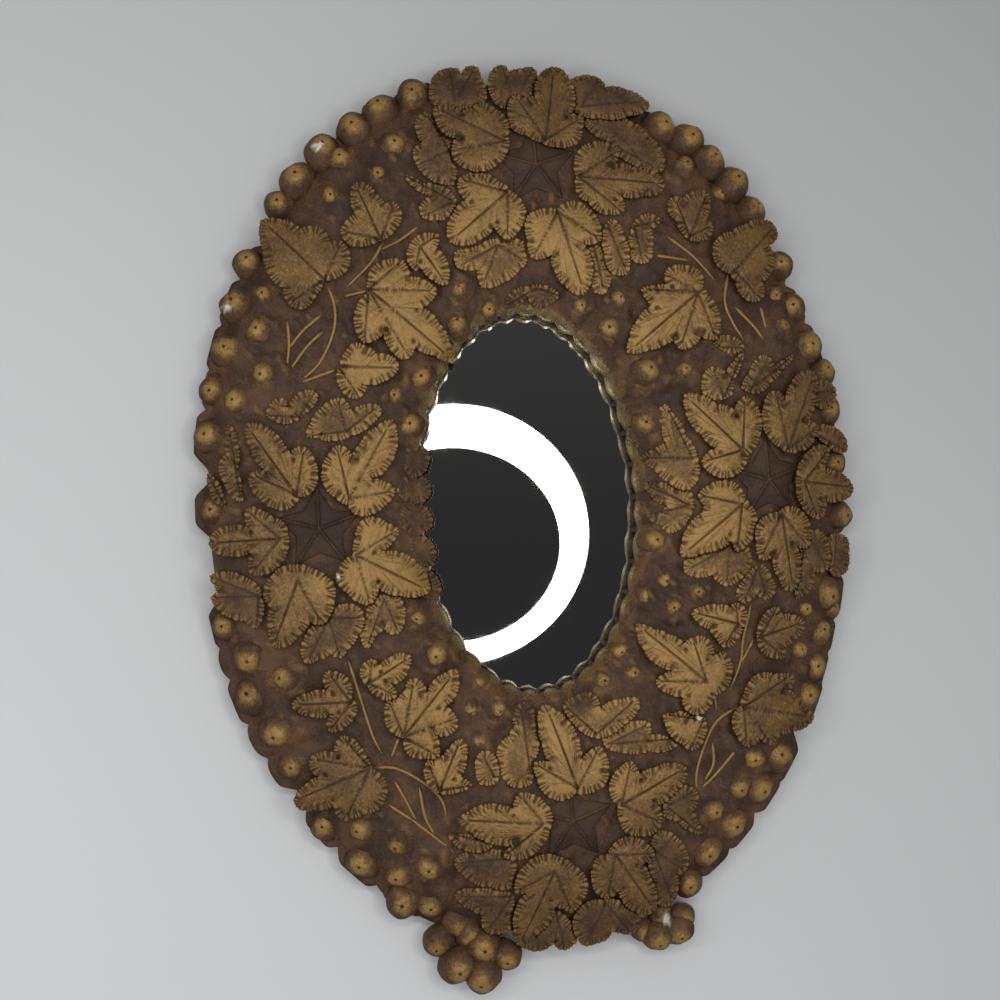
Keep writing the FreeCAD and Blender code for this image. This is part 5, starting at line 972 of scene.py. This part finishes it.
for quarter, lines in stems.items():
    shells = [carveStem(line) for line in lines]
    buildPiece(quarter + "_stems_carved", shells, stemGilding, [quarter + "_stems"])
print("stems laid")

# star in the hollow of each rosette
starShape = {"points": 5, "radius": 20.0, "waist": 11.0, "height": 1.5, "root": 0.3, "ridge": 1.0,
             "ridgeWidth": 0.8, "lift": 0.9, "foot": 1.8, "columns": 240, "rows": 16, "rub": 0.25,
             "ridgeRub": 0.5}
rosetteCentres = {"top": (12, 158), "right": (114, 4), "bottom": (10, -149), "left": (-99, -7)}


def carveStar(place):
    # rings out to a star's outline; the height is a low dome with a thin ridge along each arm, then the foot
    turn = fullTurn(starShape["columns"])
    gore = np.pi / starShape["points"]
    off = np.abs((turn - np.pi / 2 + gore) % (2 * gore) - gore)            # angle to the nearest ridge
    reach = starShape["radius"] * starShape["waist"] * np.sin(gore)
    reach = reach / (starShape["radius"] * np.sin(off) + starShape["waist"] * np.sin(gore - off))
    share = np.linspace(0.05, 1, starShape["rows"])[:, None]
    x, z = place[0] + share * reach * np.cos(turn), place[1] + share * reach * np.sin(turn)
    ridge = np.exp(-(off * share * reach / starShape["ridgeWidth"]) ** 2)
    dome = starShape["height"] * (1 - share ** 2) - starShape["root"] * share ** 2
    fall = dome + starShape["ridge"] * ridge * (1 - share ** 3)
    height = bandHeight(x, z) + ground["lift"] + starShape["lift"] + fall
    foot = np.stack([x[-1], z[-1], bandHeight(x[-1], z[-1]) - starShape["foot"]], -1)[None]
    middle = foot * 0.5 + 0.5 * foot.mean(1, keepdims=True)
    gild = np.vstack([starShape["rub"] + starShape["ridgeRub"] * ridge, np.zeros((2, len(turn)))])
    return [closedGrid(np.vstack([np.dstack([x, z, height]), foot, middle]), {"gild": gild, "lipSheen": 0.0})]


for rosette, place in rosetteCentres.items():
    buildPiece(rosette + "_star_carved", carveStar(place), starPaint, [rosette + "_star"])
print("stars carved")


def unit(way):
    return way / np.linalg.norm(way)


def carveGrape(place, radius):
    # a ball of rings about the axis of its drilled dimple, a little out of round, cut away under leaves
    middle = max(float(bandHeight(*place)) - grapeShape["sink"], radius + grapeShape["wallClearance"])
    centre = np.array([place[0], place[1], middle])
    tilt = np.array(place) / band["outer"] * grapeShape["tilt"]
    tilt = tilt + randoms.normal(0, grapeShape["tiltSpread"], 2)
    axis = unit(np.append(tilt, 1.0))
    sideways = unit(np.cross(axis, [0.3, 0.9, 0.1]))
    upward = np.cross(axis, sideways)
    rings = [np.linspace(*grapeShape["eyeRings"]), np.linspace(*grapeShape["ballRings"])]
    tip = np.concatenate(rings)[:, None]                                   # angle from the dimple
    turn = fullTurn(grapeShape["columns"])
    hole = np.exp(-(tip / grapeShape["dimpleWidth"]) ** 4)
    phase = randoms.uniform(0, 6, 4)
    lump = np.sin(2 * turn + phase[0]) * np.sin(tip)
    lump = lump + 0.6 * np.sin(3 * turn + 4 * tip + phase[1]) * np.sin(tip)
    lump = lump + 0.4 * np.sin(4 * tip + phase[2]) * np.sin(5 * turn + phase[3])
    reach = radius * (grapeShape["fill"] + grapeShape["lump"] * lump) - grapeShape["dimple"] * hole
    ringWay = np.cos(turn)[None, :, None] * sideways + np.sin(turn)[None, :, None] * upward
    ball = centre + reach[..., None] * (np.cos(tip)[..., None] * axis + np.sin(tip)[..., None] * ringWay)
    x, z, height = ball[..., 0], ball[..., 1], ball[..., 2]
    cover = bandHeight(x, z, leafShape["overhang"]) + grapeShape["coverLift"]
    for rim in raisedRims:
        under = smooth(leafCover(rim, x, z), *grapeShape["tuckRange"])
        height = np.where(height > cover, height + (cover - height) * under, height)
    inPlank = np.maximum(height, band["back"] + band["skin"])
    height = np.where(onBand(x, z), inPlank, height)               # ends in the plank where it lies on it
    facing = (height - centre[2]) / radius
    gild = grapeRub["base"] + grapeRub["crown"] * (1 - smooth(tip, *grapeRub["crownRange"]))
    gild = gild + grapeRub["front"] * smooth(facing, *grapeRub["frontRange"]) - grapeRub["hole"] * hole
    # painted shade in the dimple and on the sides turned away from the front
    paintedShade = grapeRub["holeShade"] * hole + grapeRub["sideShade"] * (1 - smooth(facing, *grapeRub["sideRange"]))
    chip = chipShare(x, z) * smooth(facing, *grapeRub["chipRange"])
    return closedGrid(np.dstack([x, z, height]), {"gild": gild, "paintedShade": np.clip(paintedShade, 0, 1), "chip": chip})


for node, sizes in grapes.items():
    shells = [carveGrape(place, grapeShape[size]) for size, places in sizes.items() for place in places]
    buildPiece(node + "_carved", shells, grapeGilding, [node])
print("grapes carved")

# convex glass
glass = {"a": 58.0, "b": 95.5, "radius": 700.0, "top": 17.445, "thickness": 2.5, "edgeMiddle": 1.2,
         "columns": 256, "rows": 56}
silvering = {"silver": linear(226, 228, 222), "dust": linear(150, 146, 136), "haze": (45.0, 4.0),
             "hazeRise": (0.4, 0.8), "specks": (1500.0, 2.0), "speckRise": (0.66, 0.8), "speckShare": 0.25,
             "rough": 0.012}


def mirrorMaterial():   # silvered glass with faint dust
    material, flow = newMaterial("silveredGlass")
    coords = objectCoords(flow)
    haze = rise(flow, speckle(flow, coords, *silvering["haze"]), *silvering["hazeRise"])
    dust = rise(flow, speckle(flow, coords, *silvering["specks"]), *silvering["speckRise"])
    colour = colourMix(flow, dust * silvering["speckShare"], silvering["silver"], silvering["dust"])
    closeMaterial(flow, {"Base Color": colour, "Metallic": 1.0,
                         "Roughness": silvering["rough"] + haze * 0.02 + dust * 0.05})
    return material


def bendGlass():
    # rings out from the middle on a dome, round along its height and drawn in across, then its edge and back
    turn = fullTurn(glass["columns"])
    share = np.concatenate([np.linspace(0.01, 1, glass["rows"]), [1, 1, 0.5]])[:, None]
    x, z = glass["a"] * share * np.cos(turn), glass["b"] * share * np.sin(turn)
    fall = glass["radius"] - np.sqrt(glass["radius"] ** 2 - (glass["b"] * share) ** 2)
    edge = [glass["edgeMiddle"], glass["thickness"], glass["thickness"]]
    below = np.concatenate([np.zeros(glass["rows"]), edge])[:, None]
    height = np.broadcast_to(glass["top"] - fall - below, x.shape)
    return [closedGrid(np.dstack([x, z, height]), {})]


buildPiece("bentGlass", bendGlass(), mirrorMaterial(), ["mirror_glass"])
print("glass bent")

# finishes of the pieces that keep their solids: a dark and a light colour each
finishes = {"paint": (linear(52, 36, 30), linear(84, 60, 45)),
            "bare": (linear(104, 76, 50), linear(142, 106, 70)),
            "board": (linear(120, 88, 56), linear(160, 122, 82)),
            "card": (linear(128, 116, 94), linear(150, 138, 114)),
            "felt": (linear(62, 54, 44), linear(92, 82, 68)),
            "steel": (linear(120, 118, 114), linear(176, 174, 170)),
            "brass": (linear(112, 84, 42), linear(186, 148, 82))}
wood = {"stretch": (1.0, 1.0, 0.06), "figure": (420.0, 5.0, 0.6), "pores": (1900.0, 2.0), "tone": (0.3, 0.7),
        "rough": 0.7, "bump": (0.3, 0.0004), "paintGrain": (900.0, 4.0), "paintTone": (0.35, 0.7),
        "paintEnd": (-0.0046, -0.0042), "waver": 0.0012}                   # how far back the paint goes, in m
felt = {"fibre": (1700.0, 6.0, 0.75), "lump": (220.0, 3.0), "tone": (0.3, 0.7), "rough": 0.92,
        "bump": (0.6, 0.0006)}
metal = {"stretch": (0.08, 1.0, 1.0), "lines": (3200.0, 3.0), "tarnish": (300.0, 4.0),
         "tarnishRise": (0.38, 0.68), "rough": 0.28, "bump": (0.15, 0.0002)}


def woodMaterial(name, colours, painted):   # grain along the height; paint on all but the back of the plank
    material, flow = newMaterial(name)
    coords = objectCoords(flow)
    stretched = flow.node("Mapping", {}, {"Vector": coords, "Scale": wood["stretch"]})
    figure, pores = (speckle(flow, stretched, *wood[key]) for key in ("figure", "pores"))
    colour = colourMix(flow, rise(flow, figure * 0.75 + pores * 0.25, *wood["tone"]), *colours)
    if painted:
        grain = speckle(flow, coords, *wood["paintGrain"])
        paint = colourMix(flow, rise(flow, grain, *wood["paintTone"]), *finishes["paint"])
        depth = axisOf(flow, coords, "Y") + (grain - 0.5) * wood["waver"]
        colour = colourMix(flow, rise(flow, depth, *wood["paintEnd"]), paint, colour)
    closeMaterial(flow, {"Base Color": colour, "Roughness": wood["rough"] + (pores - 0.5) * 0.25,
                         "Normal": bumps(flow, *wood["bump"], figure * 0.5 + pores * 0.5)})
    return material


def feltMaterial(name, colours):   # matted fibres
    material, flow = newMaterial(name)
    coords = objectCoords(flow)
    fibre, lump = (speckle(flow, coords, *felt[key]) for key in ("fibre", "lump"))
    colour = colourMix(flow, rise(flow, fibre * 0.7 + lump * 0.3, *felt["tone"]), *colours)
    closeMaterial(flow, {"Base Color": colour, "Roughness": felt["rough"] + (fibre - 0.5) * 0.1,
                         "Normal": bumps(flow, *felt["bump"], fibre)})
    return material


def metalMaterial(name, colours, wear):   # drawn metal, duller and darker in patches
    material, flow = newMaterial(name)
    coords = objectCoords(flow)
    stretched = flow.node("Mapping", {}, {"Vector": coords, "Scale": metal["stretch"]})
    lines = speckle(flow, stretched, *metal["lines"])
    tarnish = rise(flow, speckle(flow, coords, *metal["tarnish"]), *metal["tarnishRise"])
    dark, light = colours
    closeMaterial(flow, {"Base Color": colourMix(flow, tarnish * wear, light, dark),
                         "Metallic": 1.0 - tarnish * 0.15,
                         "Roughness": metal["rough"] + tarnish * 0.25 * wear + (lines - 0.5) * 0.12,
                         "Normal": bumps(flow, *metal["bump"], lines)})
    return material


nodeFinish = {"frame_body": woodMaterial("plankPaint", finishes["bare"], True),
              "back_board": woodMaterial("boardWood", finishes["board"], False),
              "packing_ring": feltMaterial("packingCard", finishes["card"]),
              "wall_pads": feltMaterial("padFelt", finishes["felt"])}
steel = metalMaterial("buttonSteel", finishes["steel"], 0.7)
brass = metalMaterial("hangerBrass", finishes["brass"], 0.9)
nodeFinish.update({"turn_button_%d" % k: steel for k in range(1, 5)})
brassNodes = ("turn_button_screws", "hanger_plate", "hanger_ring", "hanger_screws")
nodeFinish.update({node: brass for node in brassNodes})
for node, material in nodeFinish.items():
    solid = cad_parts[node]
    solid.data.materials.clear()
    solid.data.materials.append(material)
print("back finished")

# wall, ring lamp and the dark room in front that the glass shows, in m
studio = {"wall": linear(224, 226, 228), "wallShade": linear(166, 168, 168), "wallSize": 2.4, "wallGap": 0.0004,
          "wallSlope": (0.7, 0.95), "wallRise": (-0.7, 0.7), "wallGrain": (260.0, 3.0), "wallRough": 0.6,
          "wallBump": (0.05, 0.0006),
          "lampPlace": (-0.23, -0.85, -0.03), "lampOuter": (0.60, 0.276), "lampInner": (0.468, 0.205),
          "lampLower": -0.022, "lampColumns": 72, "lampColour": (1.0, 0.985, 0.96, 1.0), "lampStrength": 8.0,
          "backPlace": (0.5, 1.2, 0.7), "backSize": 0.9, "backPower": 9.0,
          "skyColour": (0.97, 0.98, 1.0, 1.0), "sky": 0.42, "skySeen": 0.75, "roomGlow": 0.028,
          "ceilingGlow": 0.02, "ceilingRise": (-0.1, 0.5), "behindGlow": 0.6, "behindRise": (0.0, 0.4)}


def stagePiece(name, verts, faces, material):
    mesh = bpy.data.meshes.new(name)
    mesh.from_pydata(verts, [], faces)
    mesh.materials.append(material)
    piece = bpy.data.objects.new(name, mesh)
    bpy.context.collection.objects.link(piece)
    piece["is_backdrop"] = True
    return piece


def buildWall():   # painted, with a painted light falloff that darkens it to the upper right, clear from behind
    material, flow = newMaterial("wallPaint")
    coords = objectCoords(flow)
    # painted light falloff across the wall
    right, up = studio["wallSlope"]
    slope = axisOf(flow, coords, "X") * right + axisOf(flow, coords, "Z") * up
    colour = colourMix(flow, rise(flow, slope, *studio["wallRise"]), studio["wall"], studio["wallShade"])
    bump = bumps(flow, *studio["wallBump"], speckle(flow, coords, *studio["wallGrain"]))
    sockets = {"Base Color": colour, "Roughness": studio["wallRough"], "Normal": bump}
    paint = flow.node("BsdfPrincipled", {}, sockets)
    clear = flow.node("BsdfTransparent", {}, {})
    behind = flow.node("NewGeometry", {}, {}, "Backfacing")
    flow.node("OutputMaterial", {}, {"Surface": flow.node("MixShader", {}, {0: behind, 1: paint, 2: clear})})
    size, gap = studio["wallSize"], studio["wallGap"]
    corners = [(x * size, gap, z * size) for x, z in ((-1, -1), (1, -1), (1, 1), (-1, 1))]
    wall = stagePiece("wall", corners, [(0, 1, 2, 3)], material)
    wall.visible_shadow = False
    wall.visible_diffuse = False


def buildRingLamp():   # a flat ring round the camera, which lights the front and shows in the glass
    material, flow = newMaterial("ringGlow")
    glow = flow.node("Emission", {}, {"Color": studio["lampColour"], "Strength": studio["lampStrength"]})
    flow.node("OutputMaterial", {}, {"Surface": glow})
    count = studio["lampColumns"]
    turn, index, place = fullTurn(count), np.arange(count), studio["lampPlace"]
    ovals = []
    for (a, b), lower in ((studio["lampOuter"], 0.0), (studio["lampInner"], studio["lampLower"])):
        ovals.append(np.stack([place[0] + a * np.cos(turn), np.full_like(turn, place[1]),
                               place[2] + lower + b * np.sin(turn)], -1))
    after = (index + 1) % count
    faces = np.stack([index, after, after + count, index + count], -1)
    lamp = stagePiece("ringLamp", np.vstack(ovals).tolist(), faces.tolist(), material)
    lamp.visible_camera = False


def lightStudio():
    lampData = bpy.data.lights.new("backLamp", "AREA")
    lampData.energy, lampData.size, lampData.shape = studio["backPower"], studio["backSize"], "DISK"
    lamp = bpy.data.objects.new("backLamp", lampData)
    place = Vector(studio["backPlace"])
    lamp.matrix_world = Matrix.Translation(place) @ (-place).to_track_quat("-Z", "Y").to_matrix().to_4x4()
    bpy.context.collection.objects.link(lamp)
    world = bpy.data.worlds.new("studioSky")
    bpy.context.scene.world = world
    world.use_nodes = True
    world.node_tree.nodes.clear()
    sky = Flow(world.node_tree)
    seen = sky.node("LightPath", {}, {}, "Is Camera Ray")
    mirrored = sky.node("LightPath", {}, {}, "Is Glossy Ray")
    way = sky.node("TexCoord", {}, {}, "Generated")
    ceiling = rise(sky, axisOf(sky, way, "Z"), *studio["ceilingRise"])
    behind = rise(sky, axisOf(sky, way, "Y"), *studio["behindRise"])
    room = studio["roomGlow"] + ceiling * studio["ceilingGlow"] + behind * studio["behindGlow"]
    strength = studio["sky"] * (1 - seen) * (1 - mirrored) + studio["skySeen"] * seen + room * mirrored
    background = sky.node("Background", {}, {"Color": studio["skyColour"], "Strength": strength})
    sky.node("OutputWorld", {}, {"Surface": background})
    bpy.context.scene.view_settings.view_transform = "Standard"


buildWall()
buildRingLamp()
lightStudio()
print("studio lit")

sizes = {"cad": cadBox, "visual": [[float(v) for v in corner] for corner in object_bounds()]}
